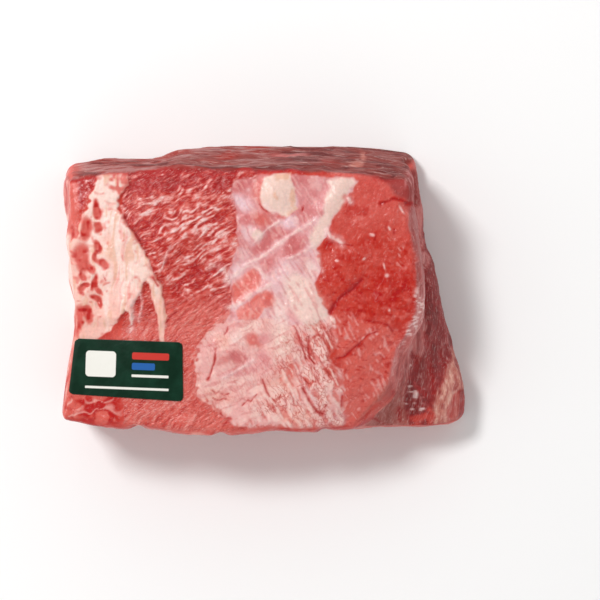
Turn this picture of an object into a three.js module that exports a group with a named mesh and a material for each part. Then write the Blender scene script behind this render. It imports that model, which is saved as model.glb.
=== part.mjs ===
// A raw bottom round roast: one block of beef, about 180 x 128 x 63 mm, with a small plain label on it.
// X runs left to right, Y from the near side to the far side and Z up. Millimetres.
// The origin is the middle of the base that the roast lies on.
import * as THREE from 'three';

// ---- Driving sizes -------------------------------------------------------------------------------
const HALF_LENGTH = 90;
const HALF_WIDTH = 64;
const CORNER_ROUND = 6; // of the block's four upright corners, seen from above
const FOOT_ROUND = 4; // where the sides turn under
const TOP_ROUND = 5; // where the sides turn into the top
const MESH_STEP = 3.65; // about the size of one facet

// The upright sides' lines where they meet the base and the top.
// The left and right lines hold X from the near end to the far end, the others Y from left to right.
const LEFT_FOOT = [-87.6, -85.5, -84, -86, -88, -91];
const LEFT_TOP = [-89, -86.4, -82.8, -84.7, -85.6, -87];
const RIGHT_FOOT = [90.6, 89.6, 83.8, 79, 75, 70, 68.4, 67.6];
const RIGHT_TOP = [41, 53.5, 58.5, 66.3, 68, 66, 64, 63.5];
const NEAR_FOOT = [-57.4, -58.6, -60.3, -61, -61.5, -61, -60.8];
const NEAR_TOP = [-57.8, -61, -63.1, -64.4, -62.9, -62.8, -61.8];
const FAR_FOOT = [56.6, 58.6, 59, 63.6, 65, 65, 64.8, 64.4, 62];
const FAR_TOP = [48.5, 51.2, 51.3, 52, 51.2, 51.8, 51.2, 49, 46];
// Height of the top, each row from left to right, the rows from near to far.
const TOP_HEIGHT = [
  [54, 57, 57, 56, 47],
  [57, 60.5, 61, 61, 54],
  [58, 61, 61.5, 61, 58],
  [57, 60, 60.5, 60, 58],
];
const BLOCK_HEIGHT = 60; // of the plain block that is bent to those lines

// The seam down the right side between the upper and the lower muscle, as shares of the height, near to far.
const SEAM_LEVEL = [0.66, 0.62, 0.55, 0.48, 0.38, 0.26];
const SEAM_DEPTH = 3.4;
const SEAM_WIDTH = 0.05; // of the height
const MUSCLE_BULGE = 2.6;
// The lower muscle stands out as a shelf. It takes this share of the side's lean, and its round edge starts
// and ends this far below and above the seam, as shares of the height.
const SHELF_SHARE = 0.75;
const SHELF_START = 0.27;
const SHELF_END = 0.13;
const SHELF_FADE = 0.5; // how far in the near and far sides are drawn along with it, as u

// Label: a flat rounded rectangle that lies on the top and bends over the left shoulder.
const LABEL_LENGTH = 48.2;
const LABEL_WIDTH = 25.6;
const LABEL_CORNER = 2;
const LABEL_THICK = 0.35;
const LABEL_GAP = 0.5; // air under it, so that it stays clear of the meat
const LABEL_CENTRE = [-59.6, -35.9];
const LABEL_TURN = -0.035; // radians
const LABEL_LEAN = [2.3, -1.1]; // how far its left and right edges lean out to the left at the near end
const LABEL_RISE = 1.4; // how far its near left corner is drawn in towards the far side

// ---- Small tools ---------------------------------------------------------------------------------
const { clamp, lerp, smoothstep } = THREE.MathUtils;

// The value at t, from -1 to 1, on a smooth line through evenly spaced values.
function along(values, t) {
  const last = values.length - 1;
  const place = ((clamp(t, -1, 1) + 1) / 2) * last;
  const i = Math.min(Math.floor(place), last - 1);
  const f = place - i;
  const before = values[Math.max(i - 1, 0)];
  const after = values[Math.min(i + 2, last)];
  const [a, b] = [values[i], values[i + 1]];
  return (
    a +
    0.5 * f * (b - before + f * (2 * before - 5 * a + 4 * b - after + f * (3 * (a - b) + after - before)))
  );
}

function topHeight(u, v) {
  return along(TOP_HEIGHT.map((row) => along(row, u)), v);
}

// A round hill of height 1 at the middle of an ellipse, falling smoothly to 0 at its edge.
function hill(x, y, [cx, cy], [rx, ry], turn = 0) {
  const dx = x - cx;
  const dy = y - cy;
  const a = (dx * Math.cos(turn) + dy * Math.sin(turn)) / rx;
  const b = (dy * Math.cos(turn) - dx * Math.sin(turn)) / ry;
  return Math.max(0, 1 - a * a - b * b) ** 2;
}

function distanceToLine(x, y, points) {
  let least = Infinity;
  for (let i = 0; i + 1 < points.length; i++) {
    const [ax, ay] = points[i];
    const [bx, by] = points[i + 1];
    const t = clamp(((x - ax) * (bx - ax) + (y - ay) * (by - ay)) / ((bx - ax) ** 2 + (by - ay) ** 2), 0, 1);
    least = Math.min(least, Math.hypot(x - lerp(ax, bx, t), y - lerp(ay, by, t)));
  }
  return least;
}

// How far a point lies inside a closed outline, negative outside.
function depthInside(x, y, outline) {
  let inside = false;
  outline.forEach(([ax, ay], i) => {
    const [bx, by] = outline[(i + 1) % outline.length];
    if (ay > y !== by > y && x < ((bx - ax) * (y - ay)) / (by - ay) + ax) inside = !inside;
  });
  const edge = distanceToLine(x, y, [...outline, outline[0]]);
  return inside ? edge : -edge;
}

// Slow rolling unevenness, the same at every build.
function unevenness(x, y, z) {
  return (
    0.5 * Math.sin(x * 0.11 + y * 0.05 + 1.3) * Math.sin(y * 0.13 - z * 0.07 + 0.6) +
    0.3 * Math.sin(x * 0.23 - y * 0.17 + z * 0.19 + 2.1) +
    0.2 * Math.sin(x * 0.37 + y * 0.31 - z * 0.29)
  );
}

// ---- The block and its bending -------------------------------------------------------------------
// s and t run from -1 to 1 over the block seen from above. Returns u and v, also from -1 to 1, where the
// square's outer rings are rounded at the corners and the outermost is drawn in by inset.
function plan(s, t, inset) {
  const ring = Math.max(Math.abs(s), Math.abs(t));
  if (ring === 0) return [0, 0];
  const x = (s / ring) * HALF_LENGTH;
  const y = (t / ring) * HALF_WIDTH;
  const innerX = clamp(x, CORNER_ROUND - HALF_LENGTH, HALF_LENGTH - CORNER_ROUND);
  const innerY = clamp(y, CORNER_ROUND - HALF_WIDTH, HALF_WIDTH - CORNER_ROUND);
  const out = Math.hypot(x - innerX, y - innerY);
  const reach = (CORNER_ROUND - inset) / out;
  return [
    (ring * (innerX + (x - innerX) * reach)) / HALF_LENGTH,
    (ring * (innerY + (y - innerY) * reach)) / HALF_WIDTH,
  ];
}

// Bends the block: u and v as above, w from 0 at the base to 1 at the top.
function bend(u, v, w) {
  const left = lerp(along(LEFT_FOOT, v), along(LEFT_TOP, v), w);
  const seam = along(SEAM_LEVEL, v);
  const foot = along(RIGHT_FOOT, v);
  const head = along(RIGHT_TOP, v);
  const shelf = SHELF_SHARE * (smoothstep(w, seam - SHELF_START, seam + SHELF_END) - w) * (head - foot);
  const near = lerp(along(NEAR_FOOT, u), along(NEAR_TOP, u), w);
  const far = lerp(along(FAR_FOOT, u), along(FAR_TOP, u), w);
  const x = lerp(left, lerp(foot, head, w), (u + 1) / 2) + shelf * smoothstep(u, SHELF_FADE, 1);
  return new THREE.Vector3(x, lerp(near, far, (v + 1) / 2), w * topHeight(u, v));
}

// The side's section from the base up: how far it is drawn in, and its height as a share.
function sideSection(steps) {
  const foot = (FOOT_ROUND * Math.PI) / 2;
  const head = (TOP_ROUND * Math.PI) / 2;
  const straight = BLOCK_HEIGHT - FOOT_ROUND - TOP_ROUND;
  return Array.from({ length: steps + 1 }, (_, j) => {
    const run = ((foot + straight + head) * j) / steps;
    if (run < foot) {
      const turn = run / FOOT_ROUND;
      return { inset: FOOT_ROUND * (1 - Math.sin(turn)), w: (FOOT_ROUND * (1 - Math.cos(turn))) / BLOCK_HEIGHT };
    }
    if (run < foot + straight) return { inset: 0, w: (FOOT_ROUND + run - foot) / BLOCK_HEIGHT };
    const turn = (run - foot - straight) / TOP_ROUND;
    return { inset: TOP_ROUND * (1 - Math.cos(turn)), w: 1 - (TOP_ROUND * (1 - Math.sin(turn))) / BLOCK_HEIGHT };
  });
}

// Moves a height on the upright part of the side, so that the middle row of facets runs along the seam.
function followSeam(u, v, w) {
  const low = FOOT_ROUND / BLOCK_HEIGHT;
  const high = 1 - TOP_ROUND / BLOCK_HEIGHT;
  if (w <= low || w >= high) return w;
  const middle = (low + high) / 2;
  const seam = lerp(middle, along(SEAM_LEVEL, v), smoothstep(u, 0.75, 0.97));
  return w < middle
    ? lerp(low, seam, (w - low) / (middle - low))
    : lerp(seam, high, (w - middle) / (high - middle));
}

// ---- Relief of the meat --------------------------------------------------------------------------
// The wide band of fat on the top's left, with the thin tail that runs to the near side.
const FAT_BAND = [
  [-70, 50], [-59.5, 49], [-63, 37], [-60.5, 30], [-55, 21], [-50, 12], [-46, 1], [-43, -11], [-44, -24],
  [-47, -12], [-52, 4], [-54, -4], [-60, -9], [-64, -16], [-74, -22], [-79, -12], [-74, 0], [-70, 20],
];
const FAT_RISE = 1.5;
const FAT_LUMPS = [
  { at: [5, 41], size: [11, 9], turn: -0.5, height: 1.6 },
  { at: [-3.5, 23], size: [4.5, 4.5], turn: 0, height: 0.8 },
  { at: [29, 38], size: [16, 6], turn: 1.1, height: 1.2 },
  { at: [17, -4], size: [10, 15], turn: 0.2, height: 0.9 },
];
// Splits in the face of the muscle, as lines on the top, near enough a blade's width.
const SPLITS = [
  [[28, -11], [31, -5], [36, -1], [42, 3]],
  [[51, 36.5], [56, 38.5], [61, 36.5]],
  [[32, -32], [38, -27], [44, -20], [52, -16], [57, -19]],
  [[19, -22], [18.7, -29], [21, -33]],
  [[-22, -27], [-22.5, -34], [-25, -40]],
  [[17, -45], [20, -51], [25, -55]],
  [[-60, 33], [-57, 26], [-53, 19]],
];
const SPLIT_DEPTH = 1.3;
const SPLIT_WIDTH = 1.6;

function topRelief(x, y) {
  let rise = FAT_RISE * smoothstep(depthInside(x, y, FAT_BAND), -1.5, 2);
  for (const lump of FAT_LUMPS) rise += lump.height * hill(x, y, lump.at, lump.size, lump.turn);
  for (const split of SPLITS) rise -= SPLIT_DEPTH * Math.exp(-((distanceToLine(x, y, split) / SPLIT_WIDTH) ** 2));
  rise += 2.2 * hill(x, y, [63, 43], [7, 10], 0.1); // the tongue of meat that hangs over the far right corner
  rise -= 1.6 * hill(x, y, [62.5, 34.5], [6, 3.5]);
  rise += 0.9 * Math.sin(0.5 * x + 0.75 * y) * hill(x, y, [-35, 15], [26, 42], -0.5); // wrinkles in the wet skin
  return rise;
}

// Two muscles meet in a seam down the right side, which opens into a wet hollow near the near corner.
function rightRelief(v, w) {
  const seam = along(SEAM_LEVEL, v);
  const share = w > seam ? (w - seam) / (1 - seam) : (seam - w) / seam;
  const offCorner = lerp(0.25, 1, smoothstep(v, -1, -0.86));
  let rise = MUSCLE_BULGE * (Math.max(0, 1 - (2 * share - 1) ** 2) ** 0.7 - 0.4);
  rise -= offCorner * SEAM_DEPTH * Math.exp(-(((w - seam) / SEAM_WIDTH) ** 2));
  rise -= offCorner * 4.5 * hill(v, w, [-0.74, 0.63], [0.36, 0.15]);
  rise -= 1.5 * Math.exp(-(((w - 0.25 + 0.08 * v) / 0.06) ** 2)) * smoothstep(-v, 0, 0.5); // the outer fat's edge
  return rise;
}

// The cut far side shows the grain of the muscle as long level ridges.
function farRelief(x, z) {
  const ridge = Math.sin(z * 0.46 + 1.7 * Math.sin(x * 0.045) + 2.4 * Math.sin(x * 0.021 + 1));
  return 0.5 * ridge * (1 + 0.5 * Math.sin(x * 0.083 + 0.1 * z)) + 1.2 * Math.exp(-(((x + 38) / 9) ** 2));
}

// Lobes of muscle on the near side, parted by upright seams.
function nearRelief(x, z) {
  const seams = [-58, -22, 24];
  const nearest = Math.min(...seams.map((at) => Math.abs(x - at - 0.12 * (z - 30))));
  return 0.5 - 2 * Math.exp(-((nearest / 3.2) ** 2)) + 0.35 * Math.sin(0.4 * z + 0.1 * x);
}

// Fat and muscle in rough level layers on the left side.
function leftRelief(y, z) {
  return 1.3 * Math.sin(z * 0.21 + 0.05 * y + 0.4) * Math.sin(y * 0.09 + 1) + 0.5 * Math.sin(z * 0.45 - y * 0.16);
}

function relief({ u, v, w, point, normal }) {
  const { x, y, z } = point;
  const up = smoothstep(normal.z, 0.45, 0.85);
  const side = 1 - up;
  const flat = Math.hypot(normal.x, normal.y) || 1;
  const [outX, outY] = [normal.x / flat, normal.y / flat];
  let rise = 0.8 * unevenness(x, y, z) + up * topRelief(x, y);
  rise += side * smoothstep(outX, 0.35, 0.8) * rightRelief(v, w);
  rise += side * smoothstep(-outX, 0.35, 0.8) * leftRelief(y, z);
  rise += side * smoothstep(outY, 0.35, 0.8) * farRelief(x, z);
  rise += side * smoothstep(-outY, 0.35, 0.8) * nearRelief(x, z);
  const underLabel = 1 - smoothstep(labelReach(x, y), 0, 5) * smoothstep(z, 30, 45);
  return rise * underLabel * smoothstep(z, 0.5, 8) * (1 - 0.7 * Math.abs(u * v) ** 8);
}

// 1 well inside the label's rectangle grown by a margin, and less towards its edge, in millimetres.
function labelReach(x, y) {
  const margin = 10;
  const [dx, dy] = [x - LABEL_CENTRE[0], y - LABEL_CENTRE[1]];
  const a = Math.abs(dx * Math.cos(LABEL_TURN) + dy * Math.sin(LABEL_TURN));
  const b = Math.abs(dy * Math.cos(LABEL_TURN) - dx * Math.sin(LABEL_TURN));
  return Math.min(LABEL_LENGTH / 2 + margin - a, LABEL_WIDTH / 2 + margin - b);
}

// ---- Meshes --------------------------------------------------------------------------------------
function indexed(points, triangles) {
  const geometry = new THREE.BufferGeometry().setFromPoints(points);
  geometry.setIndex(triangles);
  geometry.computeVertexNormals();
  return geometry;
}

// The square's outline as s and t, anticlockwise from the near left corner, with its steps.
function outlineSteps(across, deep) {
  const steps = [];
  for (let i = 0; i < across; i++) steps.push([i, 0]);
  for (let i = 0; i < deep; i++) steps.push([across, i]);
  for (let i = across; i > 0; i--) steps.push([i, deep]);
  for (let i = deep; i > 0; i--) steps.push([0, i]);
  return steps;
}

function makeRoast() {
  const across = Math.round((2 * HALF_LENGTH) / MESH_STEP);
  const deep = Math.round((2 * HALF_WIDTH) / MESH_STEP);
  const section = sideSection(Math.round((BLOCK_HEIGHT + 4) / MESH_STEP));
  const outline = outlineSteps(across, deep);
  const places = [];
  const place = (i, j, inset, w) => {
    const [u, v] = plan((2 * i) / across - 1, (2 * j) / deep - 1, inset);
    places.push({ u, v, w: followSeam(u, v, w) });
    return places.length - 1;
  };

  const triangles = [];
  const quad = (a, b, c, d) => triangles.push(a, b, c, a, c, d);
  const rings = section.map(({ inset, w }) => outline.map(([i, j]) => place(i, j, inset, w)));
  for (let r = 0; r + 1 < rings.length; r++) {
    outline.forEach((_, k) => {
      const next = (k + 1) % outline.length;
      quad(rings[r][k], rings[r][next], rings[r + 1][next], rings[r + 1][k]);
    });
  }

  // The top's outermost points are the last ring's.
  const head = rings[rings.length - 1];
  const onRing = new Map(outline.map(([i, j], k) => [`${i},${j}`, head[k]]));
  const grid = [];
  for (let i = 0; i <= across; i++) {
    grid.push([]);
    for (let j = 0; j <= deep; j++) grid[i].push(onRing.get(`${i},${j}`) ?? place(i, j, TOP_ROUND, 1));
  }
  for (let i = 0; i < across; i++) {
    for (let j = 0; j < deep; j++) quad(grid[i][j], grid[i + 1][j], grid[i + 1][j + 1], grid[i][j + 1]);
  }

  const points = places.map(({ u, v, w }) => bend(u, v, w));
  const plain = indexed(points, triangles);
  const normals = plain.getAttribute('normal');
  const shaped = points.map((point, k) => {
    const normal = new THREE.Vector3().fromBufferAttribute(normals, k);
    return point.clone().addScaledVector(normal, relief({ ...places[k], point, normal }));
  });

  // The flat base is one plane at Z 0, inside the first ring.
  const base = rings[0].map((k) => new THREE.Vector2(points[k].x, points[k].y));
  rings[0].forEach((k) => shaped[k].copy(points[k]));
  for (const [a, b, c] of THREE.ShapeUtils.triangulateShape(base, [])) {
    triangles.push(rings[0][a], rings[0][c], rings[0][b]);
  }
  return indexed(shaped, triangles);
}

// A point on the plain top over X and Y. Here s and t are from -1 to 1 over the top, and beyond that they
// go on down its rounded edge.
function topPoint(x, y) {
  let [s, t] = [x / HALF_LENGTH, y / HALF_WIDTH];
  const at = () => {
    const ring = Math.max(Math.abs(s), Math.abs(t), 1);
    const turn = Math.min(((ring - 1) * HALF_LENGTH) / TOP_ROUND, Math.PI / 2);
    const [u, v] = plan(s / ring, t / ring, TOP_ROUND * (1 - Math.sin(turn)));
    return bend(u, v, 1 - (TOP_ROUND * (1 - Math.cos(turn))) / BLOCK_HEIGHT);
  };
  for (let k = 0; k < 40; k++) {
    const here = at();
    s += (0.7 * (x - here.x)) / HALF_LENGTH;
    t += (0.7 * (y - here.y)) / HALF_WIDTH;
  }
  return at();
}

// The label is a grid of points over its rectangle, with round corners, laid on the top from above.
function makeLabel() {
  const across = 26;
  const deep = 14;
  const spot = (i, j) => {
    let a = LABEL_LENGTH * (i / across - 0.5);
    let b = LABEL_WIDTH * (j / deep - 0.5);
    const innerA = clamp(a, LABEL_CORNER - LABEL_LENGTH / 2, LABEL_LENGTH / 2 - LABEL_CORNER);
    const innerB = clamp(b, LABEL_CORNER - LABEL_WIDTH / 2, LABEL_WIDTH / 2 - LABEL_CORNER);
    const out = Math.hypot(a - innerA, b - innerB);
    if (out > LABEL_CORNER) {
      a = innerA + ((a - innerA) * LABEL_CORNER) / out;
      b = innerB + ((b - innerB) * LABEL_CORNER) / out;
    }
    a -= lerp(LABEL_LEAN[0], LABEL_LEAN[1], i / across) * (0.5 - j / deep);
    b += LABEL_RISE * (1 - i / across) * (1 - j / deep);
    return [
      LABEL_CENTRE[0] + a * Math.cos(LABEL_TURN) - b * Math.sin(LABEL_TURN),
      LABEL_CENTRE[1] + a * Math.sin(LABEL_TURN) + b * Math.cos(LABEL_TURN),
    ];
  };
  const lower = [];
  for (let i = 0; i <= across; i++) {
    for (let j = 0; j <= deep; j++) lower.push(topPoint(...spot(i, j)));
  }
  const at = (i, j) => i * (deep + 1) + j;
  const face = [];
  for (let i = 0; i < across; i++) {
    for (let j = 0; j < deep; j++) {
      face.push(at(i, j), at(i + 1, j), at(i + 1, j + 1), at(i, j), at(i + 1, j + 1), at(i, j + 1));
    }
  }
  const normals = indexed(lower, face).getAttribute('normal');
  const lifted = (rise) =>
    lower.map((p, k) => p.clone().addScaledVector(new THREE.Vector3().fromBufferAttribute(normals, k), rise));
  const points = [...lifted(LABEL_GAP), ...lifted(LABEL_GAP + LABEL_THICK)];
  const over = lower.length;
  const triangles = face.map((k) => k + over);
  for (let k = 0; k < face.length; k += 3) triangles.push(face[k], face[k + 2], face[k + 1]);
  const rim = outlineSteps(across, deep).map(([i, j]) => at(i, j));
  rim.forEach((a, k) => {
    const b = rim[(k + 1) % rim.length];
    triangles.push(a, b, b + over, a, b + over, a + over);
  });
  return indexed(points, triangles);
}

// ---- The part ------------------------------------------------------------------------------------
function named(name, geometry, color, roughness) {
  const mesh = new THREE.Mesh(geometry, new THREE.MeshStandardMaterial({ color, roughness, metalness: 0 }));
  mesh.name = name;
  return mesh;
}

const part = new THREE.Group();
part.add(named('roast', makeRoast(), 0xc4524a, 0.4));
part.add(named('label', makeLabel(), 0x123a26, 0.35));

export default part;
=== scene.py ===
"""A raw bottom round roast with a small plain label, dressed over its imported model.

The roast is one fine mesh: a block bent to the roast's outline, with the muscles, fat, films and splits
raised or sunk into it and painted on it. Sizes here are in millimetres in the object's own frame: X runs left
to right, Y from the near side to the far side and Z up. They become metres when a mesh is made.
"""

import math
from types import SimpleNamespace

import bpy
import numpy as np
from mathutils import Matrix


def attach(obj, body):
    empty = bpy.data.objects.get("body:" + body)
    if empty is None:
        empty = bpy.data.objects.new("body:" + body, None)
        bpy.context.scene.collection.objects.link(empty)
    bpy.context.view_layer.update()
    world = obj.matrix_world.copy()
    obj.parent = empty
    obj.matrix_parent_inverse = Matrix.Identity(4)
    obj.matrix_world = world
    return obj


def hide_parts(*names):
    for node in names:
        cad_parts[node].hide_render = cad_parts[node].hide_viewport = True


MM = 0.001

# ---- Form of the roast ---------------------------------------------------------------------------
HALF_LENGTH = 90
HALF_WIDTH = 64
BLOCK_HEIGHT = 60  # of the plain block that is bent to the lines below
CORNER_ROUND = 6
FOOT_ROUND = 4
TOP_ROUND = 5

# Where the upright sides meet the base and the top. The left and right lines hold X from the near end to the
# far end, the others Y from left to right.
LEFT_FOOT = [-87.6, -85.5, -84, -86, -88, -91]
LEFT_TOP = [-89, -86.4, -82.8, -84.7, -85.6, -87]
RIGHT_FOOT = [90.6, 89.6, 83.8, 79, 75, 70, 68.4, 67.6]
RIGHT_TOP = [41, 53.5, 58.5, 66.3, 68, 66, 64, 63.5]
NEAR_FOOT = [-57.4, -58.6, -60.3, -61, -61.5, -61, -60.8]
NEAR_TOP = [-57.8, -61, -63.1, -64.4, -62.9, -62.8, -61.8]
FAR_FOOT = [56.6, 58.6, 59, 63.6, 65, 65, 64.8, 64.4, 62]
FAR_TOP = [48.5, 51.2, 51.3, 52, 51.2, 51.8, 51.2, 49, 46]
# Height of the top, each row from left to right, the rows from near to far.
TOP_HEIGHT = [
    [54, 57, 57, 56, 47],
    [57, 60.5, 61, 61, 54],
    [58, 61, 61.5, 61, 58],
    [57, 60, 60.5, 60, 58],
]

# The seam down the right side, as shares of the height from near to far, and the shelf under it.
SEAM_LEVEL = [0.66, 0.62, 0.55, 0.48, 0.38, 0.26]
SEAM_DEPTH = 3.4
SEAM_WIDTH = 0.05
MUSCLE_BULGE = 2.6
SHELF_SHARE = 0.75
SHELF_START = 0.27
SHELF_END = 0.13
SHELF_FADE = 0.5

# The seams between the lobes of the near side, and each lobe's grain in degrees above the level.
NEAR_SEAMS = [-58, -22, 24]
NEAR_GRAIN = [16, -8, 10, -4]
NEAR_SEAM_LEAN = 0.12
NEAR_SEAM_LEVEL = 30

# How far the fat stands up: the band, and the lumps by middle, half sizes, lean and height.
FAT_RISE = 1.5
FAT_LUMPS = [
    ((5, 41), (11, 9), -0.5, 1.6), ((-3.5, 23), (4.5, 4.5), 0, 0.8), ((29, 38), (16, 6), 1.1, 1.2),
    ((17, -4), (10, 15), 0.2, 0.9),
]

# Other forms of the top, by middle, half sizes and lean: the tongue of meat over the far right corner, the
# dip beside it, and the stretch where the left muscle lies in waves.
TONGUE_HILL = ((63, 43), (7, 10), 0.1)
TONGUE_DIP = ((62.5, 34.5), (6, 3.5))
WAVY_MUSCLE = ((-35, 15), (26, 42), -0.5)
# The hollow in the right side, by middle and half sizes as shares of the depth and the height.
SIDE_HOLLOW = ((-0.74, 0.63), (0.36, 0.15))
SIDE_HOLLOW_DEPTH = 4.5

# ---- Label ---------------------------------------------------------------------------------------
LABEL_LENGTH = 48.2
LABEL_WIDTH = 25.6
LABEL_CORNER = 2
LABEL_CENTRE = (-59.6, -35.9)
LABEL_TURN = -0.035
LABEL_LEAN = (2.3, -1.1)  # how far its left and right edges lean out to the left at the near end
LABEL_RISE = 1.4  # how far its near left corner is drawn in towards the far side
LABEL_GAP = 0.2
LABEL_THICK = 0.3
LABEL_CELLS = (196, 104)
LABEL_PRINT_BLUR = 0.12
LABEL_GREEN = (0.0010, 0.0190, 0.0080, 1)
LABEL_GREEN_WORN = (0.0030, 0.0330, 0.0160, 1)
LABEL_CREAM = (0.800, 0.780, 0.720, 1)
LABEL_RED = (0.550, 0.040, 0.030, 1)
LABEL_BLUE = (0.020, 0.110, 0.360, 1)
LABEL_PRINT = [  # plain boxes: colour, middle, half sizes and corner
    (LABEL_CREAM, (-11.6, 2.2), (6.6, 5.6), 1.6), (LABEL_RED, (10, 6.2), (8, 1.5), 0.7),
    (LABEL_BLUE, (7, 1.7), (5, 1.5), 0.7), (LABEL_CREAM, (10, -2.4), (8, 0.55), 0.3),
    (LABEL_CREAM, (0, -8), (18.2, 0.5), 0.3),
]

# ---- Camera, stage and mesh ----------------------------------------------------------------------
CAMERA_AT = (15.2, -5.65, 1200)
CAMERA_LENS = 158.07
SENSOR = 36
FLOOR_SIDE = 6000
FLOOR_TONE = (0.94, 0.935, 0.93, 1)
LAMP_AT = (-620, 500, 1250)
LAMP_SIDE = 320
LAMP_WATTS = 13
OVERHEAD_GLOW = 0.15  # how bright the room is straight overhead, where round about it is 1
TOP_LEVEL = 60  # the level at which the outlines below are true as seen by the camera
MESH_STEP = 0.5
FROM_ABOVE, FROM_NEAR, FROM_LEFT = (0, 1, 2), (0, 2, 1), (1, 2, 0)  # axes: along, across, and depth

# ---- Colours as they look in soft daylight, 0 to 255 ----------------------------------------------
MUSCLE = (199, 75, 66)
MUSCLE_DEEP = (174, 34, 32)
# The dark red painted into the splits as shade.
SPLIT_SHADE = (158, 14, 16)
MUSCLE_PALE = (213, 104, 96)
MUSCLE_ORANGE = (220, 111, 101)
FLESH = (229, 138, 130)
GLINT = (242, 198, 194)
GLINT_BRIGHT = (252, 228, 223)
FAT = (241, 210, 200)
FAT_PINK = (236, 178, 165)
FAT_CREAM = (235, 205, 193)
FAT_TAN = (226, 174, 150)
SILVER = (216, 144, 144)
SILVER_PALE = (233, 196, 198)
SILVER_LILAC = (232, 202, 209)
SILVER_DEEP = (200, 108, 108)
MEMBRANE = (231, 172, 167)
MEMBRANE_PALE = (243, 203, 194)
MEMBRANE_RED = (212, 104, 96)
TENDON = (242, 210, 203)
VEIN = (190, 74, 66)
DRIED = (148, 84, 80)
DRIED_DARK = (104, 48, 48)
DRIED_PALE = (184, 144, 142)
DRIED_RED = (160, 56, 50)
MAUVE = (196, 110, 106)
MAUVE_DARK = (158, 72, 70)
MAUVE_PALE = (212, 150, 148)
# Painted shade where the near right corner of the top falls away.
SHADE_BROWN = (164, 92, 82)
BROWN_DARK = (134, 62, 58)
LOBE = (146, 48, 48)
LOBE_DARK = (122, 26, 28)
LOBE_PALE = (184, 98, 96)
# The dark red painted into the hollow of the right side as shade.
HOLLOW_SHADE = (134, 20, 26)
SIDE_FAT = (200, 128, 115)
SIDE_FAT_PALE = (238, 196, 178)
# The tints of the fine strokes and veins, as the shader takes them. The dark stroke tint and the pale one are
# partly the grain's own tone and partly painted shade in its grooves and painted highlight on its ridges.
STROKE_GRAIN_SHADE = (0.66, 0.26, 0.25, 1)
STROKE_RED = (0.66, 0.22, 0.20, 1)
STROKE_GRAIN_HIGHLIGHT = (0.32, 0.25, 0.23, 1)

# ---- Outlines on the roast, as seen from above -----------------------------------------------------
FAT_BAND = [
    (-73, 48), (-67, 49.5), (-59.5, 49), (-59, 46), (-61, 43), (-63, 38), (-63.5, 34), (-60.5, 30), (-58, 26),
    (-55, 21), (-53.5, 17), (-50, 12), (-48.5, 8), (-47, 3), (-45, 0), (-44, -5), (-43, -10), (-42.5, -15),
    (-43, -20), (-43.5, -27), (-45.5, -27), (-45.5, -17), (-46.5, -12), (-48, -7), (-49.5, -2), (-51.5, 3),
    (-53, -3), (-55, -5), (-57, -9), (-57.5, -17), (-58.5, -11), (-60, -9.5), (-62.5, -13), (-65, -17),
    (-68, -20), (-72, -23), (-94, -25), (-94, 19), (-84.5, 19), (-82, 20), (-80, 23), (-80.5, 26),
    (-78.5, 31), (-76, 34.5), (-75.5, 39), (-73, 43),
]
SILVERSKIN = [
    (-12.5, 46.5), (-6, 47), (0, 49), (12, 49), (25, 48.5), (27, 47.5), (38, 47), (40, 45), (36, 40),
    (31, 32), (28, 26), (25, 20), (22.5, 16), (23, 11), (24, 7), (22.5, 4), (22, 0), (23, -3), (25, -7),
    (28.5, -11), (26, -15), (12, -17), (0, -13), (-12, -15), (-17, -14), (-14.5, -8), (-15, 0), (-15.5, 4),
    (-15, 8), (-13, 14), (-10.5, 18), (-12, 20), (-12.5, 25), (-12.5, 33), (-14.5, 40), (-13, 46),
]
LOWER_MEMBRANE = [
    (-17, -14), (-12, -14), (0, -12), (12, -15), (24, -14), (28.5, -12), (30, -16), (31, -24), (28, -31),
    (33, -36), (34, -45), (34, -55), (35, -66), (-9, -66), (-8, -61), (-12, -59), (-17, -57), (-21, -54),
    (-25, -50), (-29, -47), (-29.5, -42), (-30, -33), (-29, -26), (-26, -21), (-22, -16),
]
CREAM_STRIP = [
    (27, 46), (33, 47.5), (38, 46.5), (39.5, 44.5), (36, 42), (35, 38), (32, 33), (29, 29), (27.5, 25),
    (25, 20.5), (22, 16), (20, 17), (19, 22), (22, 27), (25.5, 32), (25.5, 38), (28, 43),
]
CREAM_LUMP = [
    (0, 48), (-1.5, 44), (-2.5, 39), (-1.5, 35.5), (1, 33.5), (5, 32.5), (7.5, 31), (10, 30.5), (14, 34),
    (13, 40), (12, 45), (11, 49), (3, 48.8),
]
RED_CORNER = [
    (-81, 46.5), (-76, 47.5), (-73, 47), (-73, 43.5), (-76, 41), (-77.5, 37), (-79, 33), (-80.5, 38),
]
CENTRE_FAT = [
    (9, 4), (14, 6), (20, 3), (23, -3), (27, -10), (29, -12), (25, -16), (24, -19), (19, -19), (15, -14),
    (11, -9), (9, -3),
]
WINDOWS = [  # where the red muscle shows through the film
    [(-14, 3), (-11, 4.5), (-5, 8.5), (-3.5, 7), (-1.5, 2), (-4, -1), (-9, -6), (-13, -8), (-14.5, -5)],
    [
        (-13, -10), (-9, -8), (-3, -3), (0, -1), (3, -5), (3.5, -8), (0, -8.5), (-3, -13), (-8, -14.5),
        (-12, -14),
    ],
]
LOWER_RIGHT = [
    (29, -12), (36, -11), (44, -14), (52, -16), (58, -20), (58, -30), (54, -45), (50, -66), (34, -66),
    (33, -50), (31, -30),
]
CREST = [  # the edge between the top and the right side, near to far
    (40, -62), (46, -55), (49, -50), (51.5, -45), (53.5, -40), (55, -35), (56, -30), (58, -25), (61, -20),
    (63.5, -15), (65.3, -10), (65.5, 10), (64.8, 15), (63.8, 20), (63, 25), (62.3, 30), (62, 36), (63.5, 45),
    (64, 60),
]
SEAM_SEEN = [  # the seam of the right side, near to far
    (62, -58), (64.5, -52), (66, -45), (66.5, -38), (67.5, -30), (69, -24), (70, -10), (70, 0), (69.6, 10),
    (67.3, 20), (66.5, 30), (66.2, 40), (65.5, 50), (65, 60),
]
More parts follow.
